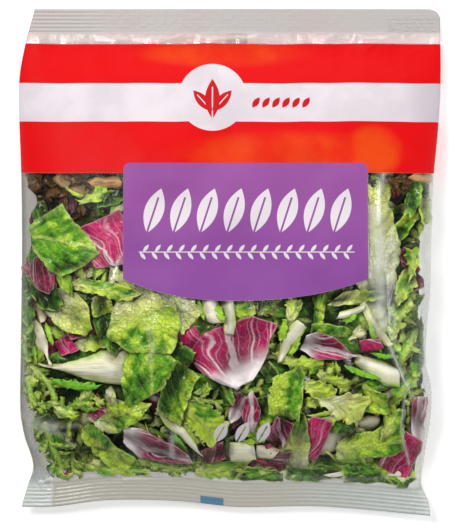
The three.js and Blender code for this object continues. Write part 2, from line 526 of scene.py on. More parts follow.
class Term:
    """A shader socket that takes part in Python arithmetic."""

    def __init__(self, finish, socket):
        self.finish = finish
        self.socket = socket

    def math(self, operation, *others):
        return self.finish.math(operation, self, *others)

    def __add__(self, other):
        return self.math("ADD", other)

    def __radd__(self, other):
        return self.math("ADD", other)

    def __sub__(self, other):
        return self.math("SUBTRACT", other)

    def __rsub__(self, other):
        return self.finish.math("SUBTRACT", other, self)

    def __mul__(self, other):
        return self.math("MULTIPLY", other)

    def __rmul__(self, other):
        return self.math("MULTIPLY", other)

    def __truediv__(self, other):
        return self.math("DIVIDE", other)

    def __pow__(self, other):
        return self.math("POWER", other)

    def __neg__(self):
        return self.finish.math("SUBTRACT", 0.0, self)

    def __abs__(self):
        return self.math("ABSOLUTE")

    def part(self):
        return self.math("FRACT")

    def least(self, other):
        return self.math("MINIMUM", other)

    def most(self, other):
        return self.math("MAXIMUM", other)

    def rise(self, start, end):
        """0 before start, 1 after end and smooth between. Start may be the larger."""
        settings = {"interpolation_type": "SMOOTHSTEP"}
        if isinstance(start, (int, float)) and isinstance(end, (int, float)) and start > end:
            return 1.0 - self.rise(end, start)
        node = self.finish.node(
            "ShaderNodeMapRange", settings, {"Value": self, "From Min": start, "From Max": end}
        )
        return Term(self.finish, node.outputs["Result"])


class Finish:
    """One material, whose nodes are made by Python expressions."""

    def __init__(self, name):
        self.material = bpy.data.materials.new(name)
        self.material.use_nodes = True
        self.tree = self.material.node_tree
        self.tree.nodes.clear()

    def node(self, kind, settings=None, sockets=None):
        """Any node: its settings first, then the values or links of its sockets."""
        node = self.tree.nodes.new(kind)
        for key, value in (settings or {}).items():
            setattr(node, key, value)
        for key, value in (sockets or {}).items():
            socket = self.socket(node.inputs, key)
            if isinstance(value, Term):
                self.tree.links.new(value.socket, socket)
            elif isinstance(value, bpy.types.NodeSocket):
                self.tree.links.new(value, socket)
            elif socket.type == "RGBA" and len(value) == 3:
                socket.default_value = (*value, 1.0)
            else:
                socket.default_value = value
        return node

    @staticmethod
    def socket(sockets, key):
        if isinstance(key, int):
            return sockets[key]
        return next(s for s in sockets if key in (s.identifier, s.name))

    def math(self, operation, *values):
        node = self.node("ShaderNodeMath", {"operation": operation}, dict(enumerate(values)))
        return Term(self, node.outputs[0])

    def mix(self, share, first, second):
        """A colour, from the first to the second as share goes from 0 to 1."""
        node = self.node(
            "ShaderNodeMix",
            {"data_type": "RGBA", "clamp_factor": True},
            {"Factor_Float": share, "A_Color": first, "B_Color": second},
        )
        return self.socket(node.outputs, "Result_Color")

    def attribute(self, name):
        """The three numbers that each point of the mesh keeps under a name."""
        node = self.node("ShaderNodeAttribute", {"attribute_name": name})
        split = self.node("ShaderNodeSeparateXYZ", None, {"Vector": node.outputs["Vector"]})
        return [Term(self, socket) for socket in split.outputs]

    def number(self, name):
        node = self.node("ShaderNodeAttribute", {"attribute_name": name})
        return Term(self, node.outputs["Fac"])

    def vector(self, x, y, z):
        return self.node("ShaderNodeCombineXYZ", None, {"X": x, "Y": y, "Z": z}).outputs[0]

    def grain(self, place, scale, detail=2.0, roughness=0.5):
        """Soft noise about 0.5."""
        node = self.node(
            "ShaderNodeTexNoise",
            None,
            {"Vector": place, "Scale": scale, "Detail": detail, "Roughness": roughness},
        )
        return Term(self, node.outputs["Fac"])

    def net(self, place, scale):
        """Distance to the nearest wall of a net of cells."""
        node = self.node(
            "ShaderNodeTexVoronoi", {"feature": "DISTANCE_TO_EDGE"}, {"Vector": place, "Scale": scale}
        )
        return Term(self, node.outputs["Distance"])

    def bump(self, height, distance, strength=1.0):
        node = self.node(
            "ShaderNodeBump", None, {"Height": height, "Distance": distance, "Strength": strength}
        )
        return node.outputs["Normal"]

    def facing(self, normal):
        """0 where the surface faces the eye and 1 at its rim."""
        node = self.node("ShaderNodeLayerWeight", None, {"Blend": 0.5, "Normal": normal})
        return Term(self, node.outputs["Facing"])

    def principled(self, sockets):
        return self.node("ShaderNodeBsdfPrincipled", None, sockets).outputs["BSDF"]

    def done(self, shader):
        self.node("ShaderNodeOutputMaterial", None, {"Surface": shader})
        return self.material


def print_leaf(along_leaf, across_leaf, half_length, half_width, vein=0.0):
    """1 inside a printed leaf shape, with its midrib left open."""
    reach = 1.0 - (along_leaf / half_length) ** 2
    body = (reach * half_width - abs(across_leaf)).rise(-LEAF_EDGE, LEAF_EDGE)
    if not vein:
        return body
    midrib = (abs(across_leaf) - vein).rise(-LEAF_EDGE, LEAF_EDGE)
    return body * midrib.most((along_leaf - half_length * 0.6).rise(0.0, 0.1))


def turned(x, y, degrees):
    """Coordinates of a place in axes turned by an angle."""
    c, s = math.cos(math.radians(degrees)), math.sin(math.radians(degrees))
    return x * c + y * s, y * c - x * s


def printed_strip(place, low, high):
    """1 between two places, with the edges of printed ink."""
    return place.rise(low - PRINT_EDGE, low + PRINT_EDGE) * place.rise(high + PRINT_EDGE, high - PRINT_EDGE)


def oblong(x, y, box, blur_x, blur_y):
    """1 inside an oblong given by its middle and half sizes."""
    middle_x, middle_y, half_x, half_y = box
    across = (half_x - abs(x - middle_x)).rise(-blur_x, blur_x)
    return across * (half_y - abs(y - middle_y)).rise(-blur_y, blur_y)


def label_mask(x, y):
    """The label: straight sides, rounded upper corners and a lower edge that hangs in a curve."""
    left, right = LABEL_LOW_X - LABEL_LEFT, LABEL_RIGHT - LABEL_LOW_X
    off = x - LABEL_LOW_X
    share = (off / right).most(-(off / left)).most(0.0)
    lower = (y - LABEL_LOW - LABEL_SIDE_RISE * share**2.3).rise(-PRINT_EDGE, PRINT_EDGE)
    middle = (LABEL_LEFT + LABEL_RIGHT) / 2
    half = (LABEL_RIGHT - LABEL_LEFT) / 2
    dx = (abs(x - middle) - (half - LABEL_CORNER)).most(0.0)
    dy = (y - (LABEL_TOP - LABEL_CORNER)).most(0.0)
    rounded = (LABEL_CORNER - (dx**2 + dy**2) ** 0.5).rise(-PRINT_EDGE, PRINT_EDGE)
    return lower * rounded


def blob(x, y, middle_x, middle_y, half_x, half_y):
    """1 in the middle of a lying oval and 0 on its outline."""
    return 1.0 - ((x - middle_x) / half_x) ** 2 - ((y - middle_y) / half_y) ** 2


def repeated(x, start, end, count):
    """Places counted from the middle of each of many equal parts, and 1 inside the row."""
    pitch = (end - start) / count
    inside = x.rise(start - 0.01, start) * x.rise(end + 0.01, end)
    return ((x - start) / pitch).part() * pitch - pitch / 2, inside


def row_of_leaves(x, y, start, end, count, middle, size, lean, vein):
    """A row of equal leaf shapes between two places."""
    local, inside = repeated(x, start, end, count)
    a, b = turned(local, y - middle, lean)
    return print_leaf(a, b, *size, vein) * inside


def garland(x, y, start, end, count, middle):
    """A thin stem with small leaves on both sides."""
    local, inside = repeated(x, start, end, count)
    stem = (0.28 - abs(y - middle)).rise(-LEAF_EDGE, LEAF_EDGE)
    upper = print_leaf(*turned(local - 0.6, y - middle - 2.1, 52), 2.6, 0.95)
    lower = print_leaf(*turned(local + 1.2, y - middle + 2.1, -52), 2.6, 0.95)
    return stem.most(upper).most(lower) * inside


def film_material(film, ink):
    """Clear film that carries the print. Ink hides what lies under it; bare film glints and clouds, and
    beside the leaves it shows a painted grey shade.
    """
    finish = Finish("printed_film")
    x, y, side = finish.attribute("sheet")
    veil = finish.number("veil")
    seal = finish.number("seal")
    front = side.rise(-0.2, 0.2)
    margin_shade = finish.number("margin_shade")

    wander = finish.grain(finish.vector(x * 0.02, side, 0.0), 1.0, 1.0) - 0.5
    row = y + wander * 3.0
    band = printed_strip(row, BAND_BOTTOM, BAND_TOP)
    stripe = printed_strip(row, STRIPE_BOTTOM, STRIPE_TOP)

    badge_x, badge_y = x - BADGE[0], y - BADGE[1]
    badge_radius = (badge_x**2 + badge_y**2) ** 0.5
    badge = (BADGE_RADIUS - badge_radius).rise(-PRINT_EDGE, PRINT_EDGE) * front
    white = stripe.most(badge)
    marks = row_of_leaves(x, y, *SMALL_ROW)
    for (off_x, off_y), turn, *size in SPRIG:
        marks = marks.most(print_leaf(*turned(badge_x - off_x, badge_y - off_y, turn), *size))
    red_marks = marks * front
    red = band * (1.0 - white * (1.0 - red_marks))

    label = label_mask(x, y) * front
    label_marks = row_of_leaves(x, y, *LABEL_ROW).most(garland(x, y, *LABEL_TWIG)) * label
    foot_row = row_of_leaves(x, y, *FOOT_ROW) * front
    mark = oblong(x, y, FOOT_MARK, 0.2, 0.2) * front

    place = finish.vector(x, y, side * 30.0)
    cloud = finish.grain(place, 0.045, 3.0)
    patches = finish.grain(place, 0.03, 2.0)
    glow = 0.0
    for *oval, full, strength in BAND_GLOWS:
        glow = (blob(x, y, *oval).rise(0.0, full) * strength).most(glow)
    glow = glow * (0.4 + cloud.rise(0.35, 0.6) * 0.6)
    red_ink = finish.mix(glow, ink.band_colour, ink.band_over_leaves)
    red_ink = finish.mix(red_marks, red_ink, ink.red_marks)
    # Painted shade on the white stripe: mottled patches, and its right end darker.
    stripe_painted_shade = (cloud.rise(0.35, 0.65) * 0.5).most(x.rise(88.0, 114.0))
    white_ink = finish.mix(stripe_painted_shade, ink.stripe_colour, ink.stripe_shade)
    label_ink = finish.mix(y.rise(-15.0, 55.0), ink.label_low, ink.label_high)

    # Painted shade: bare film goes grey where the margin shade is high.
    bare = finish.mix(margin_shade, film.tint, film.margin_tint)
    foot_tint = finish.mix(x.rise(20.0, 80.0) * 0.6, film.seal_tint, film.fold_tint)
    bare = finish.mix(seal, bare, finish.mix(y.rise(0.0, 1.0), foot_tint, film.head_seal_tint))
    corner = x.rise(-100.0, -102.0) * y.rise(-117.0, -121.0) * front
    bare = finish.mix(corner * 0.6, bare, film.fold_tint)
    blushed = row.rise(BAND_TOP - 1.0, BAND_TOP + 2.0) * (1.0 - seal * 0.8)
    bare = finish.mix(blushed * (0.1 + patches.rise(0.4, 0.65) * 0.16), bare, ink.band_colour)
    # A thin light line along the band's top edge, which also clouds the film a little.
    band_top_line = (0.35 - abs(row - BAND_TOP - 0.4)).rise(-0.25, 0.25)
    bare = finish.mix(band_top_line * 0.8, bare, ink.stripe_colour)
    body = finish.mix(band, bare, white_ink)
    body = finish.mix(red, body, red_ink)
    body = finish.mix(label, body, label_ink)
    body = finish.mix(label_marks.most(foot_row), body, ink.stripe_colour)
    body = finish.mix(mark, body, ink.mark_colour)

    inked = band.most(label).most(foot_row * 0.95).most(mark * 0.9)
    streaks = finish.grain(finish.vector(x * 0.9, y * 0.06, side), 1.0, 2.0)
    pleats = finish.grain(finish.vector(x * 0.35, y * 0.30, side * 9.0), 1.0, 4.0, 0.6)
    height = (streaks * 0.25 + pleats * 0.9 + finish.grain(place, 1.4, 2.0) * 0.08) * (1.0 - inked * 0.65)
    seam = (FIN_WIDTH / 2 - abs(x - FIN_MIDDLE)).rise(-0.2, 0.2) * (1.0 - front) * y.rise(-118.0, -106.0)
    seam_ribs = abs((x / RIB_PITCH).part() - 0.5) * seam
    dots = finish.grain(finish.vector(x * 0.5, y * 0.9, side), 1.0, 1.0).rise(0.5, 0.62)
    stamp = oblong(x, y, HEAD_STAMP, 2.0, 1.0) * dots * front
    height = height + seam_ribs + stamp * 0.8 + corner * pleats * 1.2
    normal = finish.bump(height, 0.9 * MM, film.wrinkle)

    facing = finish.facing(normal)
    gloss = 0.007 + 0.45 * facing**5.0
    cloud_patches = seal * film.seal_haze + corner * 0.25 + band_top_line * 0.3 + seam * 0.4
    clear = (gloss + film.haze * (0.6 + cloud) + veil + cloud_patches).least(0.96)
    share = clear + inked * (film.ink_cover - clear)

    surface = finish.principled(
        {
            "Base Color": body,
            "Metallic": (1.0 - inked) * (0.62 - 0.8 * veil - 0.4 * seal).most(0.05),
            "Roughness": 0.13 + inked * 0.3 + veil * 0.5 + seal * 0.08,
            "IOR": 1.2,
            "Specular IOR Level": 0.3,
            "Normal": normal,
        }
    )
    nothing = finish.node("ShaderNodeBsdfTransparent").outputs["BSDF"]
    mixed = finish.node("ShaderNodeMixShader", None, {"Fac": share, 1: nothing, 2: surface})
    return finish.done(mixed.outputs[0])


def leaf_space(finish):
    """Where a point lies on its leaf, the leaf's tint, and a place for noise that differs leaf by leaf."""
    a, b, across = finish.attribute("leaf")
    tone, heart, chance = finish.attribute("tint")
    place = finish.vector(a, b, chance * 90.0)
    return a, b, across, tone, heart, chance, place


def shaded(finish, body, shade_colour, valleys=0.8):
    """Painted shade: the colour goes dark in the valleys of a leaf and where the leaf lies deep among others,
    where less light reaches.
    """
    crest, inside, _ = finish.attribute("form")
    valley = (0.45 - crest).most(0.0) * valleys
    depth = inside.rise(*PAINTED_SHADE_DEPTHS) * PAINTED_SHADE_SHARE
    return finish.mix(depth.most(valley).least(0.94), body, shade_colour)


def green_material(leaf, rim_tint_and_highlight, name, vein_spacing, net_scale, crisp, rim_share, valleys):
    """Lettuce and endive: pale midrib and side veins, a fine net, darker towards the outside, with painted
    light and shade.
    """
    finish = Finish(name)
    a, b, across, tone, heart, chance, place = leaf_space(finish)
    crest, _, edge = finish.attribute("form")
    soft = finish.grain(place, 0.09, 3.0)
    fine = finish.grain(place, 0.6, 3.0, 0.6)
    speck = finish.grain(place, 1.6, 2.0, 0.6)

    between = ((a * 0.75 - abs(b) * 1.1 + (soft - 0.5) * 11.0) / vein_spacing).part()
    between = abs(between - 0.5) * 2.0
    side_vein = between.rise(0.86, 1.0)
    swell = between.rise(1.0, 0.0)
    midrib = (abs(b) + (soft - 0.5) * 1.2).rise(1.5, 0.4)
    net = finish.net(place, net_scale).rise(0.1, 0.0)
    veins = side_vein * 0.55 + midrib * 0.95 + net * 0.26

    # Painted light and shade: one half of the leaf darker than the other, the tip lighter than the base on
    # some leaves and darker on others, crests lighter and valleys darker.
    halves = (across.rise(-0.15, 0.15) - 0.5) * (chance - 0.5) * 1.3 + (a - 16.0) * (0.5 - chance) * 0.02
    level = tone + halves + (soft - 0.5) * 0.9 + (fine - 0.5) * 0.55 + (crest - 0.5) * 0.7
    level = level.least(1.0).most(0.0)
    dark = finish.mix(level.rise(0.0, 0.5), leaf.green_dark, leaf.green_mid)
    brown = tone.rise(-0.3, -0.5)
    bronze = finish.mix(soft.rise(0.55, 0.75) * 0.7, leaf.bronze, leaf.red_dark)
    dark = finish.mix(brown, dark, bronze)
    body = finish.mix(level.rise(0.45, 1.0), dark, leaf.green_light)
    base = (heart * 30.0 - a + (soft - 0.5) * 14.0).rise(-9.0, 9.0)
    base = base * tone.rise(-0.5, 0.0)
    body = finish.mix(base * 0.9, body, leaf.heart_colour)
    body = finish.mix((heart * 17.0 - a + (soft - 0.5) * 10.0).rise(-5.0, 6.0) * 0.55, body, leaf.rib_crest)
    body = finish.mix((veins * 0.55 * tone.rise(-0.5, 0.0)).least(0.85), body, leaf.vein_colour)
    # A pale rim: partly the real paleness of a thin cut edge, partly a painted highlight where the edge
    # catches light.
    body = finish.mix(edge.rise(0.8, 1.0) * rim_share * tone.rise(-0.4, 0.1), body, rim_tint_and_highlight)
    body = finish.mix(edge.rise(0.7, 1.0) * brown * 0.6, body, leaf.rust)
    body = shaded(finish, body, leaf.green_gloom, valleys)

    height = swell * 0.7 + midrib * 0.3 - net * 0.25 + fine * 0.8 + soft * 1.2 + speck * 0.25
    surface = finish.principled(
        {
            "Base Color": body,
            "Roughness": 0.24 + fine * 0.28,
            "IOR": 1.45,
            "Specular IOR Level": 0.25,
            "Coat Weight": speck.rise(0.42, 0.6) * 0.6,
            "Coat Roughness": 0.12,
            "Normal": finish.bump(height, crisp * MM, 1.0),
        }
    )
    return finish.done(surface)


def radicchio_material(leaf):
    """Red chicory: white veins fan out from the cut base, branch and thin towards the rim."""
    finish = Finish("radicchio_leaf")
    a, b, _, tone, heart, chance, place = leaf_space(finish)
    crest, _, edge = finish.attribute("form")
    soft = finish.grain(place, 0.10, 3.0)
    fine = finish.grain(place, 0.7, 3.0, 0.6)

    from_base = a + (1.0 - heart) * 20.0
    drift = finish.grain(place, 0.07, 0.0)
    fan = b / (a + 18.0) + (drift - 0.5) * 0.3 + (fine - 0.5) * 0.03
    width = (0.42 - from_base / 70.0).most(0.05)
    vein = (abs((fan / 0.24 + 0.5).part() - 0.5) * 2.0 - width).rise(0.16, -0.1)
    thin = (abs((fan / 0.12 + 0.1).part() - 0.5) * 2.0 - width * 0.5).rise(0.2, -0.06)
    centre = (abs(b + (soft - 0.5) * 6.0) - (0.4 + heart * 2.2 - a * 0.02).most(0.15)).rise(0.7, -0.3)
    bent = finish.vector(a * 0.6 + (fine - 0.5) * 3.0, b + (soft - 0.5) * 6.0, chance * 50.0)
    branches = finish.net(bent, 0.3).rise(0.07, 0.0)
    fading = from_base.rise(62.0, 20.0)
    white = (vein * fading * 0.85).most(thin * from_base.rise(8.0, 26.0) * fading * 0.4)
    white = white.most(centre * 0.8).most(branches * 0.1)
    white = white.most((heart * 13.0 - a + (soft - 0.5) * 9.0).rise(-7.0, 4.0))
    # A pale rim: partly the real paleness of a thin cut edge, partly a painted highlight where the edge
    # catches light.
    white = white.most(edge.rise(0.92, 1.0) * 0.3)

    # Painted light and shade: crests lighter and valleys darker.
    level = tone * 0.9 + (soft - 0.5) * 1.2 + (fine - 0.5) * 0.9 + (crest - 0.5) * 0.6
    body = finish.mix(level.least(1.0).most(0.0), leaf.red_dark, leaf.red_light)
    body = finish.mix(white, body, leaf.red_vein)
    body = shaded(finish, body, leaf.red_gloom, 0.6)
    height = white * 0.4 + fine * 0.7 + soft * 0.8
    surface = finish.principled(
        {
            "Base Color": body,
            "Roughness": 0.26 + fine * 0.25,
            "IOR": 1.45,
            "Specular IOR Level": 0.25,
            "Coat Weight": fine.rise(0.5, 0.65) * 0.5,
            "Coat Roughness": 0.14,
            "Normal": finish.bump(height, 0.8 * MM, 1.0),
        }
    )
    return finish.done(surface)


def rib_material(leaf):
    """Thick pale ribs: fine threads run along them, and leaf green or pink clings to their edges."""
    finish = Finish("pale_rib")
    a, b, across, tone, heart, chance, place = leaf_space(finish)
    threads = finish.grain(finish.vector(a * 0.1, b * 1.2, chance * 70.0), 1.0, 3.0)
    soft = finish.grain(place, 0.1, 3.0)
    fine = finish.grain(place, 0.7, 3.0, 0.6)
    side = (abs(across) + (soft - 0.5) * 1.1).rise(0.5, 1.05)
    # Painted highlight: a whiter line along the middle of the rib, where its rounded back catches the light.
    painted_ridge_highlight = (abs(across - 0.15) + (soft - 0.5) * 0.5).rise(0.5, 0.0)
    body = finish.mix((tone + (soft - 0.5) * 1.2).least(1.0).most(0.0), leaf.rib_white, leaf.rib_lime)
    body = finish.mix((threads - 0.45).most(0.0) * 1.0, body, leaf.rib_shadow)
    body = finish.mix(soft.rise(0.5, 0.7) * 0.4, body, leaf.rib_peach)
    body = finish.mix(painted_ridge_highlight * 0.6, body, leaf.rib_crest)
    blush = chance.rise(0.8, 0.85)
    pink = finish.mix(fine.rise(0.3, 0.7), leaf.red_dark, leaf.red_light)
    fringe = finish.mix(blush, finish.mix(fine, leaf.green_mid, leaf.green_light), pink)
    body = finish.mix((side * (0.25 + heart)).least(0.85), body, fringe)
    rust = finish.mix(tone.rise(1.2, 1.6) * 0.6 + (soft - 0.5) * 0.6, leaf.rust, leaf.red_dark)
    body = finish.mix(tone.rise(0.98, 1.05) * (0.5 + fine * 0.5), body, rust)
    leafy = finish.mix((tone + (fine - 0.5)).least(1.0).most(0.0), leaf.green_mid, leaf.green_light)
    body = finish.mix(heart.rise(1.4, 1.9), body, finish.mix(blush, leafy, pink))
    body = shaded(finish, body, leaf.rib_gloom)
    surface = finish.principled(
        {
            "Base Color": body,
            "Roughness": 0.2 + threads * 0.2,
            "IOR": 1.45,
            "Normal": finish.bump(threads * 0.9 + soft * 0.8 + fine * 0.4, 0.7 * MM, 1.0),
        }
    )
    return finish.done(surface)


# The film


def film_rows():
    seal = np.arange(FILM_ROWS_PER_RIB * RIB_COUNT) * RIB_PITCH / FILM_ROWS_PER_RIB
    low, high = FOOT + SEAL_DEPTH, HEAD - SEAL_DEPTH
    body = (low + high) / 2 + crowded(FILM_BODY_ROWS, END_CROWDING) * (high - low) / 2
    return np.concatenate([FOOT + seal, body, (HEAD - seal)[::-1]])


def film_creases(x, y, side):
    """Small sharp ripples of thin film, strongest between the leaves and the seals."""
    edge = np.exp(-seal_distance(y) / 16)
    slack = 0.25 + 0.75 * edge
    long_ripples = 1 - np.abs(noise(x / 3.1 + 4, y / 17 + side))
    short_ripples = 1 - np.abs(noise(x / 6.5 + y / 9, y / 6 - x / 14 + 3 * side))
    lifted = 0.5 * (long_ripples**3 - 0.4) * edge + 0.45 * (short_ripples**3 - 0.4)
    return lifted * slack * np.clip(seal_distance(y) / 2, 0, 1)


def make_film(settings, ink):
    rows, across = film_rows(), crowded(FILM_COLUMNS, EDGE_CROWDING)
    s, y = np.meshgrid(across, rows)
    left, right = along(LEFT_SIDE, y), along(RIGHT_SIDE, y)
    x = left + (s + 1) / 2 * (right - left)
    moved_y = y + stray(x, y)
    inset = np.clip((1 - np.abs(s)) * 12, 0, 1)

    sheets = []
    fold_relief, fold_cloud_and_glint = np.zeros_like(x), np.zeros_like(x)
    # Patchy strength of the folds' cloud, which is partly their painted highlight.
    cloud_patches = 0.9 + 0.25 * noise(x / 2.2, moved_y / 3.5)
    for points, width, height, cloud in FOLDS:
        near = np.exp(-((distance_to_path(x, moved_y, points) / width) ** 2))
        fold_relief += height * near
        fold_cloud_and_glint = np.maximum(fold_cloud_and_glint, cloud * near * cloud_patches)
    for side in (1, -1):
        z = film_height(x, s, y, side) - (1 - settings.crimp * crimp_left(x, y)) * ribs(y)
        wrinkles = settings.crinkle / CRINKLE_UNIT * film_creases(x, y, side) * inset
        if side > 0:
            thin = np.where(seal_distance(y) > 0, 0, -(SEAL_THICKNESS / 2 - FILM_THICKNESS / 2) * inset)
            z = z + thin + wrinkles + fold_relief * inset
        else:
            z = np.maximum(0, z + 0.3 * wrinkles)
        sheets.append(z)

    faces, inner = two_faced_grid(*x.shape)
    tops = np.stack([x, moved_y, sheets[0]], axis=-1)
    unders = np.stack([x, moved_y, sheets[1]], axis=-1)
    points = np.concatenate([tops.reshape(-1, 3), unders[inner]])

    head_strip = 0.3 * smooth(np.clip((y - BAND_TOP) / 3, 0, 1))
    clouding = fold_cloud_and_glint + 0.10 * np.exp(-seal_distance(y) / 5) + head_strip
    seal = np.clip(1 - seal_distance(y) / 1.5, 0, 1)
    # The film clouds where it turns at the sides; on the left this cloud shows the painted grey shade.
    rim = RIM_VEIL * np.exp(-((1 - np.abs(s)) * 28) ** 1.5)
    # Painted shade: the film beside the leaves goes grey towards the left, but not above the band.
    margin_shade = np.interp(x, [-100, 100], [1.0, 0.05]) * smooth(np.clip((BAND_TOP - y) / 5, 0, 1))
    top_sheet = np.stack([x, y, np.ones_like(x)], axis=-1)
    under_sheet = np.stack([x, y, -np.ones_like(x)], axis=-1)
    # Painted shade: the underside near the foot seal is grey and cloudier, so the bare strip above the seal
    # looks darker.
    near_foot = np.exp(-np.maximum(0, y - FOOT - SEAL_DEPTH) / 8)
    under_cloud_and_shade = 0.3 * clouding + rim + np.maximum(np.interp(x, *UNDERSIDE_CLOUD_AND_SHADE), 0.6 * near_foot)
    under_margin_shade = np.maximum(margin_shade, 0.8 * near_foot)
    attributes = {
        "sheet": np.concatenate([top_sheet.reshape(-1, 3), under_sheet[inner]]),
        "veil": np.concatenate([(clouding + rim).ravel(), under_cloud_and_shade[inner]]),
        "seal": np.concatenate([seal.ravel(), seal[inner]]),
        "margin_shade": np.concatenate([(margin_shade * rim / RIM_VEIL).ravel(), under_margin_shade[inner]]),
    }
    return new_mesh_object("film", points, faces, attributes, film_material(settings, ink))


# Leaves


OUTLINES = {  # half widths along a leaf, from its base to its tip
    "quad": (0.92, 0.97, 1.0, 0.97, 0.9),
    "fan": (0.25, 0.55, 0.85, 1.0, 0.85),
    "oval": (0.35, 0.85, 1.0, 0.85, 0.3),
    "spear": (0.55, 1.0, 0.9, 0.6, 0.12),
    "drop": (0.15, 0.6, 0.95, 1.0, 0.5),
    "strip": (0.85, 1.0, 0.95, 1.0, 0.75),
    "wedge": (1.0, 0.85, 0.65, 0.4, 0.12),
}


def stations(count, low, crisp):
    """Even stations from low to 1. A crisp rim has one more station close to each end."""
    even = np.linspace(0, 1, count)
    both = np.sort(np.concatenate([even, [0.012, 0.988]])) if crisp else even
    return low + both * (1 - low)


class Blade:
    """One cut piece of leaf before it is laid down: a sheet of points round its own middle."""

    def __init__(self, chance, length, width, outline, cell, rag=0.9, skew=0.13, crisp=True):
        self.length, self.width = length, width
        self.seed = chance.uniform(0, 400)
        self.tone = self.heart = None
        u = stations(max(5, round(length / cell)), 0.0, crisp)
        v = stations(max(4, round(width / cell)), -1.0, crisp)
        self.u, self.v = (grid.T for grid in np.meshgrid(u, v))
        halves = np.array(OUTLINES[outline])
        keys = np.linspace(0, 1, len(halves))
        half = along(np.stack([keys, halves], axis=1), self.u) * width / 2
        side, end = np.sign(self.v), np.sign(self.u - 0.5)
        torn = noise(self.u * length / 9 + self.seed, 3 * side + self.seed)
        nicks = 1 - np.abs(noise(self.u * length / 3.2 + self.seed, 5 * side + self.seed))
        half = half * (1 + 0.15 * torn) - min(rag, 0.12 * width) * nicks**3
        self.a = self.u * length
        self.b = self.v * half
        jags = 0.6 * rag * noise(self.v * width / 4 + self.seed, 7 + end)
        ends = np.abs(2 * self.u - 1) ** 4
        corners = chance.uniform(-skew, skew, (2, 2, 2, 1, 1))
        w = (self.v + 1) / 2
        near = corners[0, 0] * (1 - w) + corners[0, 1] * w
        far = corners[1, 0] * (1 - w) + corners[1, 1] * w
        shift = near * (1 - self.u) + far * self.u
        x = self.a - length / 2 + end * jags * ends + shift[0] * length
        self.points = np.stack([x, self.b + shift[1] * width, np.zeros_like(self.a)], axis=-1)
        self.thickness = 0.55 * np.ones_like(self.a)
        self.crest = np.zeros_like(self.a)

    def cut_from(self, chance, heart):
        """Says where on its leaf the piece was cut. A piece with a pale heart keeps the base and midrib."""
        loose = max(0.0, 1.0 - heart / 0.35)
        angle = math.radians(chance.uniform(-70, 70)) * loose
        off_a = chance.uniform(6, 34) * loose
        off_b = chance.uniform(-22, 22) * loose + chance.uniform(-2, 2)
        middle = self.a - self.length / 2
        a = middle * math.cos(angle) - self.b * math.sin(angle) + self.length / 2 + off_a
        self.b = middle * math.sin(angle) + self.b * math.cos(angle) + off_b
        self.a = a
        return self

    def notch(self, teeth, depth):
        """Cuts teeth into both long rims."""
        turn = self.u * teeth + 0.3 * np.sign(self.v) + self.seed
        tooth = np.abs(2 * (turn - np.floor(turn)) - 1)
        share = 1 - depth * tooth * np.abs(self.v) ** 2
        self.points[..., 1] *= share
        self.b = self.b * share
        return self

    def fringe(self, teeth, depth):
        """Splits the tip into teeth that spread and ruffle."""
        turn = self.v * teeth / 2 + self.seed
        tooth = 1 - np.abs(2 * (turn - np.floor(turn)) - 1)
        self.points[..., 0] -= depth * self.length * tooth * self.u**3
        self.points[..., 2] += 0.16 * self.length * np.sin(2 * math.pi * turn + 1.0) * self.u**2
        return self

    def cup(self, across, lengthwise):
        """Lifts the rims by one height and the two ends by another."""
        self.points[..., 2] += across * self.v**2 + lengthwise * (2 * self.u - 1) ** 2
        return self

    def ruffle(self, height, waves):
        """Waves that grow towards the rims."""
        left = np.sin(2 * math.pi * waves * self.u + self.seed)
        right = np.sin(2 * math.pi * waves * 1.13 * self.u + 2.1 + self.seed)
        swing = np.where(self.v > 0, left, right) * np.abs(self.v) ** 1.8
        self.points[..., 2] += height * swing
        sideways = np.abs(self.v) * np.cos(2 * math.pi * waves * self.u + self.seed)
        self.points[..., 0] += 0.5 * height * sideways
        return self

    def crinkle(self, height, width, stretch=1.0):
        """Low waves over the whole leaf, which may run along it."""
        wave = noise(self.a / width / stretch + self.seed, self.b / width)
        self.points[..., 2] += height * wave
        self.crest = self.crest + height * wave
        return self

    def blister(self, height, width):
        """Rounded bumps between sharp valleys."""
        large = np.abs(noise(self.a / width + self.seed, self.b / width))
        small = np.abs(noise(2.3 * self.a / width, 2.3 * self.b / width + self.seed))
        self.points[..., 2] += height * (large + 0.45 * small)
        self.crest = self.crest + height * (large + 0.45 * small)
        return self

    def fold(self, height, place=0.0):
        """A sharp valley along the midrib."""
        self.points[..., 2] += height * np.abs(self.v - place)
        return self

    def roll(self, start, end):
        """Turns the leaf about its length, from one angle at the base to another at the tip."""
        angle = np.radians(start + (end - start) * self.u)
        y, z = self.points[..., 1].copy(), self.points[..., 2].copy()
        self.points[..., 1] = y * np.cos(angle) - z * np.sin(angle)
        self.points[..., 2] = y * np.sin(angle) + z * np.cos(angle)
        return self

    def bend(self, degrees):
        """Bends the leaf sideways along its length."""
        turn = math.radians(degrees)
        if abs(turn) < 1e-3:
            return self
        radius = self.length / turn
        angle = self.points[..., 0] / radius
        y = self.points[..., 1].copy()
        self.points[..., 0] = (radius - y) * np.sin(angle)
        self.points[..., 1] = radius - (radius - y) * np.cos(angle)
        return self

    def thicken(self, rim, midrib, spread=0.35):
        """Thickness at the rims, and at the midrib near the base."""
        swell = np.exp(-((self.v / spread) ** 2)) * (1 - 0.7 * self.u)
        self.thickness = rim + (midrib - rim) * swell
        return self

    def place(self, x, y, heading):
        turn = math.radians(heading)
        c, s = math.cos(turn), math.sin(turn)
        px, py = self.points[..., 0].copy(), self.points[..., 1].copy()
        self.points[..., 0] = x + px * c - py * s
        self.points[..., 1] = y + px * s + py * c
        return self


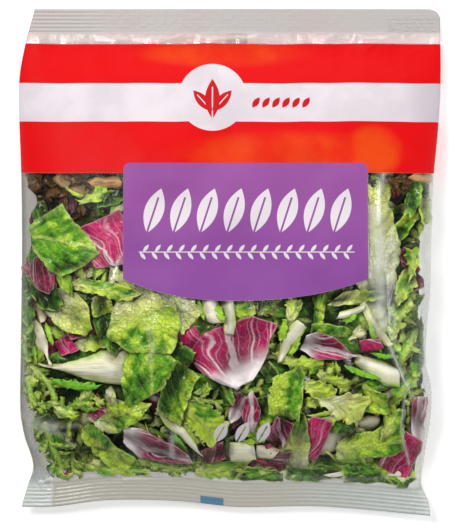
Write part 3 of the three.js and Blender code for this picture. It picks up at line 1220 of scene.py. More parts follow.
def broad_leaf(chance, length, width, outline, heart, grain):
    blade = Blade(chance, length, width, outline, 1.3 * grain, chance.uniform(0.6, 1.8))
    blade.cup(chance.uniform(-2.5, 4.0), chance.uniform(-2.0, 2.5))
    blade.ruffle(chance.uniform(0.8, 2.8), chance.uniform(1.0, 3.5))
    blade.crinkle(chance.uniform(0.8, 1.8), chance.uniform(6, 10), chance.uniform(0.6, 2.0))
    blade.blister(chance.uniform(1.1, 2.1), chance.uniform(3.6, 6.0))
    if chance.random() < 0.4:
        blade.fold(chance.uniform(2.0, 5.0))
    blade.thicken(0.4, 0.6 + 1.2 * heart).bend(chance.uniform(-25, 25)).cut_from(chance, heart)
    return [blade]


def radicchio_leaf(chance, length, width, outline, heart, grain):
    blade = Blade(chance, length, width, outline, 1.3 * grain, chance.uniform(0.2, 0.8))
    blade.cup(chance.uniform(0.5, 4.0), chance.uniform(-1.5, 2.5))
    blade.ruffle(chance.uniform(0.6, 2.0), chance.uniform(0.8, 2.6))
    blade.crinkle(chance.uniform(0.8, 1.6), 7, 2.0).blister(0.8, 4.5)
    if chance.random() < 0.4:
        blade.fold(chance.uniform(2.0, 4.0))
    blade.thicken(0.5, 0.7 + 2.0 * heart).bend(chance.uniform(-18, 18)).cut_from(chance, heart)
    return [blade]


def pale_rib(chance, length, width, outline, heart, grain):
    """A thick pale rib. Ragged leaf still clings to its sides."""
    core = Blade(chance, length, width, outline, 1.2 * grain, 0.5, 0.16)
    core.cup(chance.uniform(-0.35, -0.12) * width, chance.uniform(-1.5, 1.5))
    core.ruffle(chance.uniform(0.3, 1.4), 1.7)
    core.crinkle(1.0, 7, 1.6).crinkle(0.25, 2.2, 2.5)
    turn = chance.uniform(-35, 35)
    core.thicken(0.5, 1.0 + 0.07 * width, 0.45).roll(0, chance.uniform(-30, 30)).bend(turn)
    blades = [core]
    for side in (1, -1):
        if chance.random() > 0.3 + heart:
            continue
        reach = length * chance.uniform(0.4, 0.85)
        frill = Blade(chance, reach, chance.uniform(4.0, 8.0), "oval", 1.1 * grain, 1.4, 0.2, False)
        frill.notch(reach / 3.0, 0.6).ruffle(chance.uniform(1.4, 2.6), reach / 5).crinkle(0.8, 2.6)
        off = chance.uniform(-0.2, 0.3) * length
        frill.bend(turn).place(off, side * (0.42 * width + 1.0), chance.uniform(-14, 14))
        frill.points[..., 2] += chance.uniform(-1.5, 0.5)
        frill.tone, frill.heart = chance.uniform(-0.2, 0.5), 2.0
        blades.append(frill)
    return blades


def curly_ribbon(chance, length, width, outline, heart, grain):
    """One ragged ribbon, with a deeply ruffled and toothed rim."""
    blade = Blade(chance, length, width * 0.8, outline, 1.0 * grain, 1.4)
    blade.notch(length / chance.uniform(2.6, 3.6), 0.5)
    blade.ruffle(chance.uniform(2.0, 3.6), length / chance.uniform(5, 8))
    blade.crinkle(1.0, 2.8).blister(0.8, 4.0).thicken(0.35, 1.0, 0.2)
    blade.roll(chance.uniform(-35, 35), chance.uniform(-35, 35)).bend(chance.uniform(-60, 60))
    return [blade]


def curly_frond(chance, length, width, outline, heart, grain):
    """A ruffled ribbon with a pale midrib. Broad toothed lobes curl out on both sides."""
    if chance.random() < 0.35:
        return curly_ribbon(chance, length, width, outline, heart, grain)
    bend = chance.uniform(-60, 60)
    middle = Blade(chance, length, chance.uniform(5.0, 8.0), "strip", 1.3 * grain, 1.2, 0.05, False)
    middle.notch(length / 3.0, 0.45).ruffle(chance.uniform(0.8, 1.8), length / 7)
    middle.thicken(0.4, 1.4, 0.3).bend(bend)
    blades = [middle]
    count = max(2, int(length / (6.5 * grain**0.5)))
    for k in range(count):
        for side in (1, -1):
            swell = 0.65 + 0.35 * math.sin(math.pi * (k + 0.5) / count)
            reach = width * chance.uniform(0.5, 0.8) * swell
            broad = chance.uniform(6.0, 10.0)
            lobe = Blade(chance, reach, broad, "fan", 1.15 * grain, 1.2, 0.2, False)
            lobe.notch(reach / chance.uniform(2.4, 3.4), 0.5).fringe(chance.uniform(2.0, 4.0), 0.3)
            lobe.ruffle(chance.uniform(0.8, 2.0), reach / chance.uniform(5, 9)).crinkle(0.7, 2.4)
            lobe.thicken(0.3, 0.7, 0.3).roll(chance.uniform(-25, 25), chance.uniform(-60, 60))
            lobe.bend(chance.uniform(-60, 60))
            along_stem = (k + chance.uniform(0.1, 0.9)) / count - 0.5
            turn = math.radians(bend) * along_stem
            sx, sy = along_stem * length, 0.0
            if abs(bend) > 0.1:
                radius = length / math.radians(bend)
                sx, sy = radius * math.sin(turn), radius * (1 - math.cos(turn))
            lean = side * chance.uniform(25, 80) + math.degrees(turn)
            out = reach * 0.46
            lobe.place(sx + out * math.cos(math.radians(lean)), sy + out * math.sin(math.radians(lean)), lean)
            lobe.points[..., 2] += chance.uniform(-2.5, 2.5)
            lobe.tone = chance.uniform(-0.3, 0.3)
            blades.append(lobe)
    return blades


def heart_leaf(chance, length, width, outline, heart, grain):
    """A tender leaf from near the heart: one broad frilled blade, and often a small curl beside it."""
    blade = Blade(chance, length, width, outline, 1.05 * grain, 1.6, 0.16)
    blade.notch(length / chance.uniform(2.4, 3.4), 0.28)
    blade.cup(chance.uniform(-1.5, 3.0), chance.uniform(-1.5, 1.5))
    blade.ruffle(chance.uniform(1.6, 3.0), length / chance.uniform(5, 8))
    blade.crinkle(1.2, 5.0).blister(1.0, 3.4).thicken(0.35, 1.3, 0.16)
    blade.bend(chance.uniform(-30, 30)).cut_from(chance, max(heart, 0.3))
    blades = [blade]
    if chance.random() < 0.5:
        curl = curly_ribbon(chance, 0.7 * length, 0.5 * width, "strip", heart, grain)[0]
        curl.place(0, chance.choice([-0.5, 0.5]) * width, chance.uniform(-40, 40))
        blades.append(curl)
    return blades


KINDS = {  # maker, piece, slot
    "broad": (broad_leaf, "broad_leaves", "green_leaf"),
    "curly": (curly_frond, "curly_leaves", "curly_leaf"),
    "heart": (heart_leaf, "heart_leaves", "pale_leaf"),
    "red": (radicchio_leaf, "radicchio_leaves", "red_leaf"),
    "rib": (pale_rib, "pale_ribs", "pale_leaf"),
}


class Pile:
    """Leaves laid one after another from one face of the film inwards."""

    def __init__(self, side):
        self.side = side
        columns = GRID_LEFT + CELL * np.arange(GRID_COLUMNS)
        rows = GRID_FOOT + CELL * np.arange(GRID_ROWS)
        x, moved_y = np.meshgrid(columns, rows)
        y = moved_y.copy()
        for _ in range(4):
            y = moved_y - stray(x, y)
        left, right = along(LEFT_SIDE, y), along(RIGHT_SIDE, y)
        s = np.clip(2 * (x - left) / (right - left) - 1, -1, 1)
        top, under = film_height(x, s, y, 1), film_height(x, s, y, -1)
        self.skin = top if side > 0 else under
        self.room = 0.48 * (top - under)
        self.reach = np.zeros_like(x)
        self.layers = np.zeros_like(x)
        inside = (x > along(LEFT_REACH, y) + 3) & (x < along(RIGHT_REACH, y) - 3)
        self.inside = inside & (y > along(FOOT_REACH, x) + 2) & (y < LEAF_HEAD - 2)
        self.columns, self.rows = x, moved_y

    @staticmethod
    def read(grid, x, y):
        """A grid's value at places between its cells."""
        fx = np.clip((x - GRID_LEFT) / CELL, 0, GRID_COLUMNS - 1.001)
        fy = np.clip((y - GRID_FOOT) / CELL, 0, GRID_ROWS - 1.001)
        i, j = np.floor(fx).astype(int), np.floor(fy).astype(int)
        u, v = fx - i, fy - j
        low = grid[j, i] * (1 - u) + grid[j, i + 1] * u
        high = grid[j + 1, i] * (1 - u) + grid[j + 1, i + 1] * u
        return low * (1 - v) + high * v

    def eased(self, x, y):
        """How deep the leaves above reach, spread out into slopes that a leaf can follow."""
        i0 = int(np.clip((x.min() - GRID_LEFT) / CELL - 3, 0, GRID_COLUMNS - 2))
        i1 = int(np.clip((x.max() - GRID_LEFT) / CELL + 4, i0 + 2, GRID_COLUMNS))
        j0 = int(np.clip((y.min() - GRID_FOOT) / CELL - 3, 0, GRID_ROWS - 2))
        j1 = int(np.clip((y.max() - GRID_FOOT) / CELL + 4, j0 + 2, GRID_ROWS))
        eased = self.reach.copy()
        window = eased[j0:j1, i0:i1]
        for step in range(6):
            drop = SLOPE * CELL if step else 0.0
            spread = window.copy()
            spread[1:] = np.maximum(spread[1:], window[:-1] - drop)
            spread[:-1] = np.maximum(spread[:-1], window[1:] - drop)
            window[:] = spread
            spread = window.copy()
            spread[:, 1:] = np.maximum(spread[:, 1:], window[:, :-1] - drop)
            spread[:, :-1] = np.maximum(spread[:, :-1], window[:, 1:] - drop)
            window[:] = spread
        return eased

    @staticmethod
    def limits(x, y, inset, kind):
        """How far a leaf may reach: left, right, foot and head. Each leaf's edge wavers its own way."""
        foot = np.maximum(along(FOOT_REACH, x), FOOT + SEAL_DEPTH + along(FOOT_EDGE, x) + 0.2)
        foot = foot + 2.4 * inset + 2.2 * np.maximum(0, noise(x / 9, kind)) + 0.7 * noise(x / 2.5, kind)
        head = LEAF_HEAD + 3 * noise(x / 14, 2.0)
        ragged = 0.7 * noise(y / 2.5, kind)
        left = along(LEFT_REACH, y) + inset + 0.8 * np.maximum(0, noise(y / 7, kind)) + ragged
        right = along(RIGHT_REACH, y) - inset - 2.5 * np.maximum(0, noise(y / 7, kind + 5)) + ragged
        return left, right, foot, head

    def keep_in(self, blades, inset, kind):
        """Moves a leaf that sticks out back in, and crowds what is left of its rim against the film."""
        flat = np.concatenate([blade.points.reshape(-1, 3) for blade in blades])
        left, right, foot, head = self.limits(flat[:, 0], flat[:, 1], inset, kind)
        out_x = np.maximum(0, left - flat[:, 0]) - np.maximum(0, flat[:, 0] - right)
        out_y = np.maximum(0, foot - flat[:, 1]) - np.maximum(0, flat[:, 1] - head)
        dx = 0.9 * (np.percentile(out_x, 95) + np.percentile(out_x, 5))
        dy = 0.9 * (np.percentile(out_y, 95) + np.percentile(out_y, 5))
        for blade in blades:
            x, y = blade.points[..., 0] + dx, blade.points[..., 1] + dy
            left, right, foot, head = self.limits(x, y, inset, kind)
            soft = SIDE_SOFTNESS
            low = 0.5 * soft
            y = np.where(y < foot + low, foot + low * np.exp((y - foot - low) / low), y)
            y = np.minimum(y, head)
            x = np.where(x > right - soft, right - soft * np.exp((right - soft - x) / soft), x)
            x = np.where(x < left + soft, left + soft * np.exp((x - left - soft) / soft), x)
            blade.points[..., 0], blade.points[..., 1] = x, y

    def lay(self, blades, depth, tilt, inset, kind):
        """Lowers a leaf, made of one or more blades, as deep as it wants to be or has to be."""
        self.keep_in(blades, inset, kind)
        before = self.reach.copy()
        flat = np.concatenate([blade.points.reshape(-1, 3) for blade in blades])
        middle = flat.mean(axis=0)
        crest = np.percentile(flat[:, 2], CREST_SHARE)
        eased = self.eased(flat[:, 0], flat[:, 1])
        for blade in blades:
            x, y, z = (blade.points[..., k] for k in range(3))
            lean = tilt[0] * (x - middle[0]) + tilt[1] * (y - middle[1])
            wanted = depth + lean + crest - z
            nearest = FILM_GAP + blade.thickness / 2
            under = self.read(eased, x, y)
            under = np.where(under > 0.05, under + LEAF_GAP + blade.thickness / 2, 0)
            room = self.read(self.room, x, y)
            deep = np.minimum(np.maximum(np.maximum(wanted, nearest), under), np.maximum(room, nearest))
            blade.points[..., 2] = self.read(self.skin, x, y) - self.side * deep
            blade.deep = deep
            self.mark(x, y, deep + blade.thickness / 2)
        self.layers += self.reach > before + 0.01

    def mark(self, x, y, deep):
        """Notes how deep the leaves now reach, at cells and between a blade's own points."""
        for _ in range(2):
            x, y, deep = (self.doubled(grid) for grid in (x, y, deep))
        i = np.clip(np.round((x - GRID_LEFT) / CELL).astype(int), 0, GRID_COLUMNS - 1)
        j = np.clip(np.round((y - GRID_FOOT) / CELL).astype(int), 0, GRID_ROWS - 1)
        np.maximum.at(self.reach, (j, i), deep)

    @staticmethod
    def doubled(grid):
        """A grid with a new station half way between each two."""
        rows = np.empty((2 * grid.shape[0] - 1, grid.shape[1]))
        rows[::2], rows[1::2] = grid, (grid[:-1] + grid[1:]) / 2
        both = np.empty((rows.shape[0], 2 * rows.shape[1] - 1))
        both[:, ::2], both[:, 1::2] = rows, (rows[:, :-1] + rows[:, 1:]) / 2
        return both

    def emptiest(self, chance, tries):
        """A place that few leaves cover, out of some tried at random."""
        cells = np.argwhere(self.inside)
        picked = cells[chance.integers(0, len(cells), tries)]
        scores = []
        for j, i in picked:
            near = self.layers[max(0, j - 4) : j + 5, max(0, i - 4) : i + 5]
            scores.append(near.mean() + 0.02 * chance.random())
        j, i = picked[int(np.argmin(scores))]
        return self.columns[j, i], self.rows[j, i]


class Harvest:
    """The blades of every kind, gathered into one mesh for each."""

    def __init__(self):
        self.parts = {kind: [] for kind in KINDS}

    def add(self, kind, blades, tone, heart, tag):
        """Keeps the blades of one leaf. A blade's own tone adds to the leaf's, its own heart takes over."""
        for blade in blades:
            own = tone + (blade.tone or 0.0)
            self.parts[kind].append((blade, own, heart if blade.heart is None else blade.heart, tag))

    def build(self, kind, material):
        points, faces, leaf, tint, form = [], [], [], [], []
        count = 0
        for blade, tone, heart, tag in self.parts[kind]:
            grid = blade.points
            quads, inner = two_faced_grid(*grid.shape[:2])
            step_u, step_v = np.gradient(grid, axis=0), np.gradient(grid, axis=1)
            normal = np.cross(step_u, step_v)
            normal /= np.maximum(np.linalg.norm(normal, axis=-1, keepdims=True), 1e-6)
            half = (blade.thickness / 2)[..., None] * normal
            rim = ~inner
            upper = np.where(rim[..., None], grid, grid + half)
            lower = grid - half
            points += [upper.reshape(-1, 3), lower[inner]]
            faces.append(quads[:, ::-1] + count)
            where = np.stack([blade.a, blade.b, blade.v], axis=-1)
            leaf += [where.reshape(-1, 3), where[inner]]
            # How raised each point is, how deep it lies and how near the rim; the materials paint light and
            # shade from the first two.
            raised = (blade.crest - blade.crest.mean()) / (3.0 * blade.crest.std() + 1e-3)
            edge = np.maximum(np.abs(blade.v), np.abs(2 * blade.u - 1))
            where = np.stack([np.clip(0.5 + raised, 0, 1), blade.deep, edge], axis=-1)
            form += [where.reshape(-1, 3), where[inner]]
            own = grid.shape[0] * grid.shape[1] + inner.sum()
            tint.append(np.tile([tone, heart, tag], (own, 1)))
            count += own
        lists = {"leaf": leaf, "tint": tint, "form": form}
        attributes = {name: np.concatenate(values) for name, values in lists.items()}
        name = KINDS[kind][1]
        return new_mesh_object(name, np.concatenate(points), np.concatenate(faces), attributes, material)


# Leaves that lie against the top film: kind, x, y, heading of the tip, length, width, outline, tone,
# how far the pale base reaches, depth under the film
TOP_LEAVES = [
    # upper left
    ("broad", -95, 10, -52, 36, 24, "quad", 0.62, 0, 1.2),
    ("red", -68, 12, 112, 32, 28, "quad", 0.9, 0.15, 2),
    ("broad", -92, -12, -72, 15, 10, "oval", 0.72, 0.1, 1.4),
    ("heart", -70, -15, -12, 32, 11, "strip", 0.75, 0.2, 1.4),
    ("red", -105, -8, -55, 19, 14, "oval", 0, 0, 3),
    ("broad", -104, -18, -30, 23, 17, "oval", 0.3, 0, 4),
    ("heart", -62, -8, -40, 20, 10, "fan", 0.9, 0.5, 2.6),
    ("broad", -74, -5, 60, 14, 8, "drop", 0.6, 0.1, 2.4),
    ("curly", -76, 36, 30, 17, 13, "fan", 0.5, 0.1, 2.2),
    ("broad", -117, 20, -80, 25, 11, "strip", 0.15, 0, 4.5),
    ("curly", -117, 48, -80, 16, 12, "quad", -0.9, 0, 1.8),
    ("rib", -69, 45, 8, 20, 8, "strip", 1.1, 0.1, 2.4),
    ("curly", -84, 46, -20, 20, 10, "oval", -0.8, 0, 1.6),
    ("rib", -88, 44, -24, 20, 8, "strip", 1.5, 0.1, 3.4),
    ("curly", -109, 46, -50, 24, 16, "oval", -0.9, 0, 2.2),
    ("broad", -102, 45, 5, 30, 18, "quad", -0.9, 0, 3.4),
    ("curly", -93, 38, -20, 24, 16, "oval", -0.8, 0, 3),
    ("red", -91, 34, -80, 15, 9, "oval", -0.1, 0, 2.6),
    ("broad", -67, 36, 0, 14, 12, "quad", -0.2, 0, 4),
    ("broad", -100, 28, 20, 26, 16, "quad", -0.45, 0, 6),
    ("curly", -86, 21, 40, 22, 18, "fan", -0.6, 0, 5.5),
    ("red", -81, 15, 20, 13, 11, "oval", 0, 0, 6),
    ("broad", -118, 5, -85, 21, 10, "oval", 0.15, 0, 2.6),
    ("red", -116.5, -6, -60, 8, 7, "quad", 0.5, 0, 1.6),
    ("broad", -117.5, -14, -80, 16, 10, "oval", 0.2, 0, 2.4),
    ("red", -110.5, -20.5, -40, 9, 6, "oval", 0, 0, 1.8),
    ("broad", -115.5, -27, -70, 16, 11, "fan", 0.5, 0, 2.4),
    ("curly", -117, -49, -85, 17, 11, "oval", 0.2, 0, 2),
    ("broad", -117.5, -38, -88, 16, 8, "strip", 0.25, 0, 3),
    ("curly", -116, -73, -80, 20, 13, "fan", 0.45, 0, 1.8),
    # left, below the label
    ("broad", -91, -28, -35, 28, 19, "oval", 0.86, 0.75, 1.4),
    ("broad", -48, -33, -66, 41, 38, "drop", 0.8, 0.62, 1.3),
    ("broad", -28, -25, -58, 24, 17, "quad", 1, 1.2, 2),
    ("broad", -72, -24, -80, 14, 11, "quad", 0.74, 0.3, 2.4),
    ("rib", -11, -28, -80, 15, 10, "quad", 0.1, 0.5, 2.6),
    ("rib", 0, -29, -86, 19, 8, "strip", 0.6, 0.6, 2.2),
    ("rib", -45, -17, 15, 19, 9, "oval", 0.2, 0.7, 3),
    ("broad", -67, -36, -60, 23, 16, "quad", 0.2, 0, 4),
    ("red", -81, -38, 20, 19, 7, "strip", 0.45, 0, 2.6),
    ("rib", -107, -28, -75, 11, 5, "strip", 0, 0.8, 2),
    ("rib", -106, -46, -64, 33, 11, "spear", 0.05, 0.2, 1.5),
    ("red", -93, -47, 30, 11, 10, "quad", 0.8, 0, 2),
    ("heart", -74, -46, 4, 32, 13, "strip", 0.85, 0.35, 1.6),
    ("heart", -97, -41, -30, 17, 11, "fan", 0.5, 0.2, 3.6),
    # left middle
    ("broad", -51, -64, 62, 35, 32, "fan", 0.5, 0.05, 1.3),
    ("rib", -78, -59, 184, 50, 23, "wedge", 0.22, 0.35, 1.8),
    ("broad", -66, -76, -70, 11, 5, "spear", 0.85, 0.4, 2),
    ("curly", -102, -70, -60, 32, 23, "fan", 0.5, 0.1, 1.6),
    ("curly", -87, -81, 30, 24, 19, "oval", 0.45, 0.1, 2),
    ("curly", -111, -57, 80, 20, 16, "fan", 0.55, 0.2, 2.4),
    ("red", -76, -83, -60, 12, 10, "quad", 0.55, 0, 1.6),
    ("broad", -61, -87, 18, 35, 18, "spear", 0.92, 0.35, 1.2),
    ("broad", -31, -74, 70, 30, 17, "quad", 0.35, 0, 3.4),
    ("broad", -35, -55, -30, 25, 23, "quad", 0.25, 0, 4.2),
    # lower left
    ("broad", -68, -108, -44, 44, 13, "strip", 0.66, 0.1, 1.5),
    ("red", -43, -105, -22, 41, 17, "spear", 0.3, 0.55, 1.3),
    ("rib", -28, -96, -50, 34, 9, "spear", 0, 0.45, 1.4),
    ("rib", -33, -85, -20, 15, 9, "oval", 0.1, 0.6, 2),
    ("curly", -101, -105, -70, 30, 20, "oval", 0.2, 0, 2.2),
    ("curly", -90, -113, -84, 20, 14, "fan", 0.15, 0.1, 2.4),
    ("curly", -40, -119, -10, 23, 14, "fan", 0.05, 0, 2),
    ("broad", 14, -121, -2, 30, 9, "strip", 0.22, 0, 1.5),
    ("curly", -57, -121, 0, 20, 12, "fan", 0.0, 0, 2.2),
    ("curly", -28, -120, 10, 22, 12, "oval", 0.1, 0, 2.8),
    ("broad", 43, -122, -5, 24, 9, "strip", 0.1, 0, 2.4),
    ("broad", 76, -122, 4, 26, 11, "strip", 0.12, 0, 2),
    ("heart", -73, -119, -12, 20, 10, "fan", 0.6, 0.3, 2.4),
    ("heart", -19, -86, -36, 38, 20, "fan", 0.85, 0.4, 1.8),
    ("curly", -19, -77, -20, 28, 19, "fan", 0.5, 0.1, 2.8),
    ("red", -10, -109, 24, 15, 11, "quad", 0.25, 0, 1.3),
    ("broad", -106, -99, -60, 23, 14, "strip", 0.3, 0, 3.8),
    # middle
    ("red", 4, -50, 108, 35, 43, "drop", 0.78, 0.75, 1.1),
    ("red", -23, -43, -58, 18, 13, "quad", 0.8, 0.1, 1.6),
    ("broad", -4, -62, -24, 18, 9, "spear", 0.62, 0.1, 2),
    ("broad", -9, -73, 80, 19, 25, "quad", 0.28, 0, 3),
    ("red", 12, -84, 82, 20, 9, "oval", 0.3, 0.3, 1.8),
    ("red", 4, -83, 60, 15, 11, "fan", 0.25, 0.35, 2.4),
    ("rib", 8, -107, 5, 15, 10, "quad", 0.15, 0.3, 1.4),
    ("rib", 20, -109, -15, 11, 9, "quad", 0.3, 0.4, 1.8),
    ("red", 29, -95, 70, 15, 11, "quad", 0.08, 0, 2.4),
    ("red", 27, -114, 30, 15, 10, "oval", 0.12, 0, 1.8),
    ("broad", 34, -75, 88, 26, 20, "quad", 0.9, 0.05, 1.1),
    ("broad", 25, -82, 20, 22, 19, "quad", 0.38, 0, 2.2),
    ("rib", 32, -46, 62, 23, 9, "fan", 0.35, 0.5, 1.4),
    ("broad", 37, -106, 98, 30, 16, "quad", 0.84, 0.7, 1.2),
    ("red", 47, -101, 60, 23, 16, "quad", 0.62, 0.1, 1.5),
    ("heart", -4, -118, 5, 25, 13, "strip", 0.5, 0.3, 1.8),
    ("curly", 10, -73, 10, 19, 14, "fan", 0.7, 0.1, 3.2),
    # right middle
    ("red", 56, -48, -12, 30, 15, "spear", 0.4, 0.4, 1.4),
    ("rib", 82, -59, -18, 25, 13, "fan", 0.2, 0.9, 1.8),
    ("red", 79, -47, 10, 12, 7, "quad", 1, 0.1, 1.6),
    ("rib", 68, -29, 18, 17, 4, "strip", 0.4, 0.2, 1.3),
    ("rib", 83, -39, -56, 31, 5, "strip", 0.45, 0.2, 1.2),
    ("broad", 74, -20, 6, 33, 11, "oval", 0.8, 0.6, 1.6),
    ("heart", 71, -41, 40, 10, 8, "fan", 1, 0.6, 2.2),
    ("broad", 60, -43, -12, 25, 13, "strip", 0.4, 0, 2.6),
    ("heart", 61, -79, -20, 26, 19, "fan", 1.15, 0.8, 1.3),
    ("broad", 79, -79, -12, 18, 15, "quad", 0.75, 0.1, 1.5),
    ("broad", 83, -70, 8, 22, 9, "oval", 0.2, 0, 2.6),
    ("rib", 56, -88, 14, 27, 5, "strip", 0.75, 0.2, 1.4),
    ("broad", 63, -91, -20, 18, 13, "oval", 0.16, 0, 2.2),
    ("broad", 91, -92, 60, 19, 14, "fan", 0.85, 0.3, 1.5),
    ("broad", 81, -103, 8, 39, 17, "strip", 0.78, 0.3, 1.7),
    ("red", 98, -111, 58, 27, 20, "quad", 0.7, 0.1, 1.5),
    ("red", 110, -90, 84, 25, 9, "strip", 0.5, 0.7, 2),
    ("broad", 102, -127, 10, 11, 9, "wedge", 0.12, 0, 2),
    ("curly", 66, -113, -10, 25, 17, "fan", 0.2, 0.1, 2.6),
    ("broad", 63, -120, -5, 26, 11, "wedge", 0.22, 0, 2.2),
    ("curly", 44, -118, 20, 19, 13, "fan", 0.15, 0.1, 2.4),
    ("broad", 92, -123, -20, 17, 10, "wedge", 0.25, 0.1, 3),
    # right
    ("rib", 109, 48, -8, 13, 6, "strip", 1.08, 0.1, 2),
    ("curly", 96, 46, 0, 18, 11, "fan", -0.75, 0, 2),
    ("curly", 103, -3, 80, 19, 14, "fan", 0.6, 0.1, 3.4),
    ("heart", 98, -14, 60, 18, 12, "fan", 0.75, 0.2, 1.8),
    ("curly", 95, -32, 60, 25, 18, "fan", 0.7, 0.1, 2.2),
    ("curly", 97, -54, 70, 23, 16, "oval", 0.55, 0, 2.2),
    ("heart", 103, -35, 80, 20, 11, "strip", 0.85, 0.1, 1.6),
    ("broad", 80, 5, 94, 66, 27, "oval", 0.8, 2.4, 1.3),
    ("broad", 84, 32, 70, 24, 13, "fan", 0.85, 0.8, 2.6),
    ("heart", 50, -71, -30, 22, 15, "fan", 1.15, 0.3, 1.6),
    ("curly", 46, -79, 20, 20, 14, "fan", 1.15, 0.1, 1.0),
    ("curly", 59, -67, -20, 20, 14, "fan", 1.0, 0.1, 2.0),
    ("heart", 3, -29, 30, 23, 14, "fan", 0.7, 0.3, 2.8),
    ("heart", 36, -30, 70, 17, 13, "fan", 0.8, 0.4, 2.4),
    ("broad", 50, -28, 78, 19, 8, "strip", 0.45, 0, 2.2),
    ("broad", 104, 36, 80, 19, 10, "oval", 0.2, 0, 1.4),
    ("broad", 112, 29, -80, 18, 7, "strip", 0.82, 0.3, 1.6),
    ("broad", 101, 24, 55, 26, 10, "strip", 0.7, 0.2, 1.8),
    ("broad", 92, 18, 70, 25, 17, "oval", 0.42, 0.2, 2.2),
    ("rib", 96, 28, -35, 16, 5, "strip", 0.7, 0.2, 1.6),
    ("red", 103, 1, -55, 17, 11, "quad", 0.92, 0.1, 1.4),
    ("red", 105, -11, -10, 14, 10, "oval", 0.15, 0, 2),
    ("red", 93, 40, -80, 10, 5, "strip", 0.8, 0.2, 1.8),
    ("curly", 100, -21, 80, 25, 17, "fan", 0.6, 0.2, 1.8),
    ("curly", 104, -44, 86, 28, 16, "oval", 0.45, 0.1, 2),
    ("heart", 90, -16, 70, 17, 11, "fan", 0.7, 0.3, 2.6),
    ("broad", 107, -49, 84, 32, 7, "spear", 0.35, 0, 1.6),
    ("broad", 105, -23, 30, 14, 8, "oval", 0.6, 0.1, 1.6),
    ("curly", 96, -73, 60, 23, 16, "fan", 0.35, 0, 2.4),
    ("curly", 104, -81, -80, 19, 13, "fan", 0.45, 0.1, 2.4),
    ("curly", 40, -58, -10, 26, 15, "fan", 0.95, 0.2, 1.8),
    ("curly", 52, -62, 10, 23, 15, "fan", 0.75, 0.2, 2.2),
    ("curly", 22, -44, 70, 17, 13, "fan", 0.7, 0.1, 3.2),
]


def scatter_leaf(chance, pile, harvest, kind, length, width, depths, insets, grain):
    """Lays one leaf where few others lie."""
    outline = str(chance.choice(RIB_OUTLINES if kind == "rib" else LEAF_OUTLINES))
    x, y = pile.emptiest(chance, PLACES_TRIED)
    heart = chance.uniform(0, 0.6) ** 1.5
    blades = KINDS[kind][0](chance, length, width, outline, heart, grain)
    heading = chance.uniform(0, 360)
    for blade in blades:
        blade.place(x, y, heading)
    inset = chance.uniform(*insets)
    pile.lay(blades, chance.uniform(*depths), chance.uniform(-0.1, 0.1, 2), inset, chance.uniform(0, 90))
    tone = chance.uniform(-0.1, 0.9) + CURLY_LIFT * (kind == "curly")
    harvest.add(kind, blades, tone, heart, chance.random())


def make_leaves(settings):
    chance = np.random.default_rng(settings.seed)
    harvest = Harvest()
    top, under = Pile(1), Pile(-1)
    for kind, x, y, heading, length, width, outline, tone, heart, depth in TOP_LEAVES:
        blades = KINDS[kind][0](chance, length, width, outline, heart, 1.0)
        for blade in blades:
            blade.place(x, y, heading)
        top.lay(blades, depth, chance.uniform(-0.04, 0.04, 2), 0.0, chance.uniform(0, 90))
        harvest.add(kind, blades, tone + CURLY_LIFT * (kind == "curly"), heart, chance.random())

    for _ in range(settings.sprigs):
        kind = str(chance.choice(SPRIG_KINDS))
        length = chance.uniform(10, 22)
        width = chance.uniform(9, 15) if kind in ("curly", "heart") else chance.uniform(4, 9)
        scatter_leaf(chance, top, harvest, kind, length, width, *SPRIG_LAYER)
    for pile, count in ((top, settings.top_fillers), (under, settings.under_fillers)):
        for _ in range(count):
            kind = str(chance.choice(list(KIND_SHARES), p=list(KIND_SHARES.values())))
            length = chance.uniform(24, 50)
            width = length * chance.uniform(0.5, 0.95)
            if kind == "rib":
                width = chance.uniform(8, 16)
            if kind in ("curly", "heart"):
                width = chance.uniform(20, 32)
            scatter_leaf(chance, pile, harvest, kind, length, width, *FILLER_LAYER)

    rims = {"broad": settings.vein_colour, "curly": settings.heart_bright, "heart": settings.heart_colour}
    materials = {kind: green_material(settings, rim, *GREEN_LOOKS[kind]) for kind, rim in rims.items()}
    materials["red"] = radicchio_material(settings)
    materials["rib"] = rib_material(settings)
    for kind, material in materials.items():
        piece = harvest.build(kind, material)
        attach(piece, "root")


# Settings


def colour(name, description, red, green, blue):
    value = shade(red, green, blue)
    limits = {"subtype": "COLOR", "size": 3, "min": 0, "max": 1}
    return FloatVectorProperty(name=name, description=description, default=value, **limits)


def fraction(name, description, value):
    return amount(name, description, value, max=1, subtype="FACTOR")


def whole_number(name, description, value):
    return IntProperty(name=name, description=description, default=value, min=0)


def amount(name, description, value, low=0, **limits):
    return FloatProperty(name=name, description=description, default=value, min=low, **limits)


class FilmSettings(PropertyGroup):
    tint: colour("Film", "Colour of the bare film's glints", 235, 236, 232)
    seal_tint: colour("Seals", "Colour of the crimped seals", 216, 214, 204)
    head_seal_tint: colour("Head seal", "Colour of the crimped seal at the head", 200, 198, 196)
    # Painted shade: the grey that the clear film shows beside the leaves on the left and near the foot.
    margin_tint: colour("Margins", "Colour of the clear film beside the leaves", 150, 146, 136)
    fold_tint: colour("Folded corner", "Colour of the crushed corner of the foot seal", 222, 232, 232)
    haze: fraction("Haze", "How cloudy the bare film is", 0.002)
    seal_haze: fraction("Seal haze", "How much cloudier the seals are", 0.6)
    ink_cover: fraction("Ink cover", "How much the ink hides", 0.98)
    crimp: fraction("Crimp", "How much of the seals' crimp shows", 1)
    wrinkle: amount("Fine wrinkles", "Strength of the finest wrinkles", 0.5, max=2)
    crinkle: amount("Crinkle height", "Height of the small ripples", 0.00035, max=0.002, unit="LENGTH")


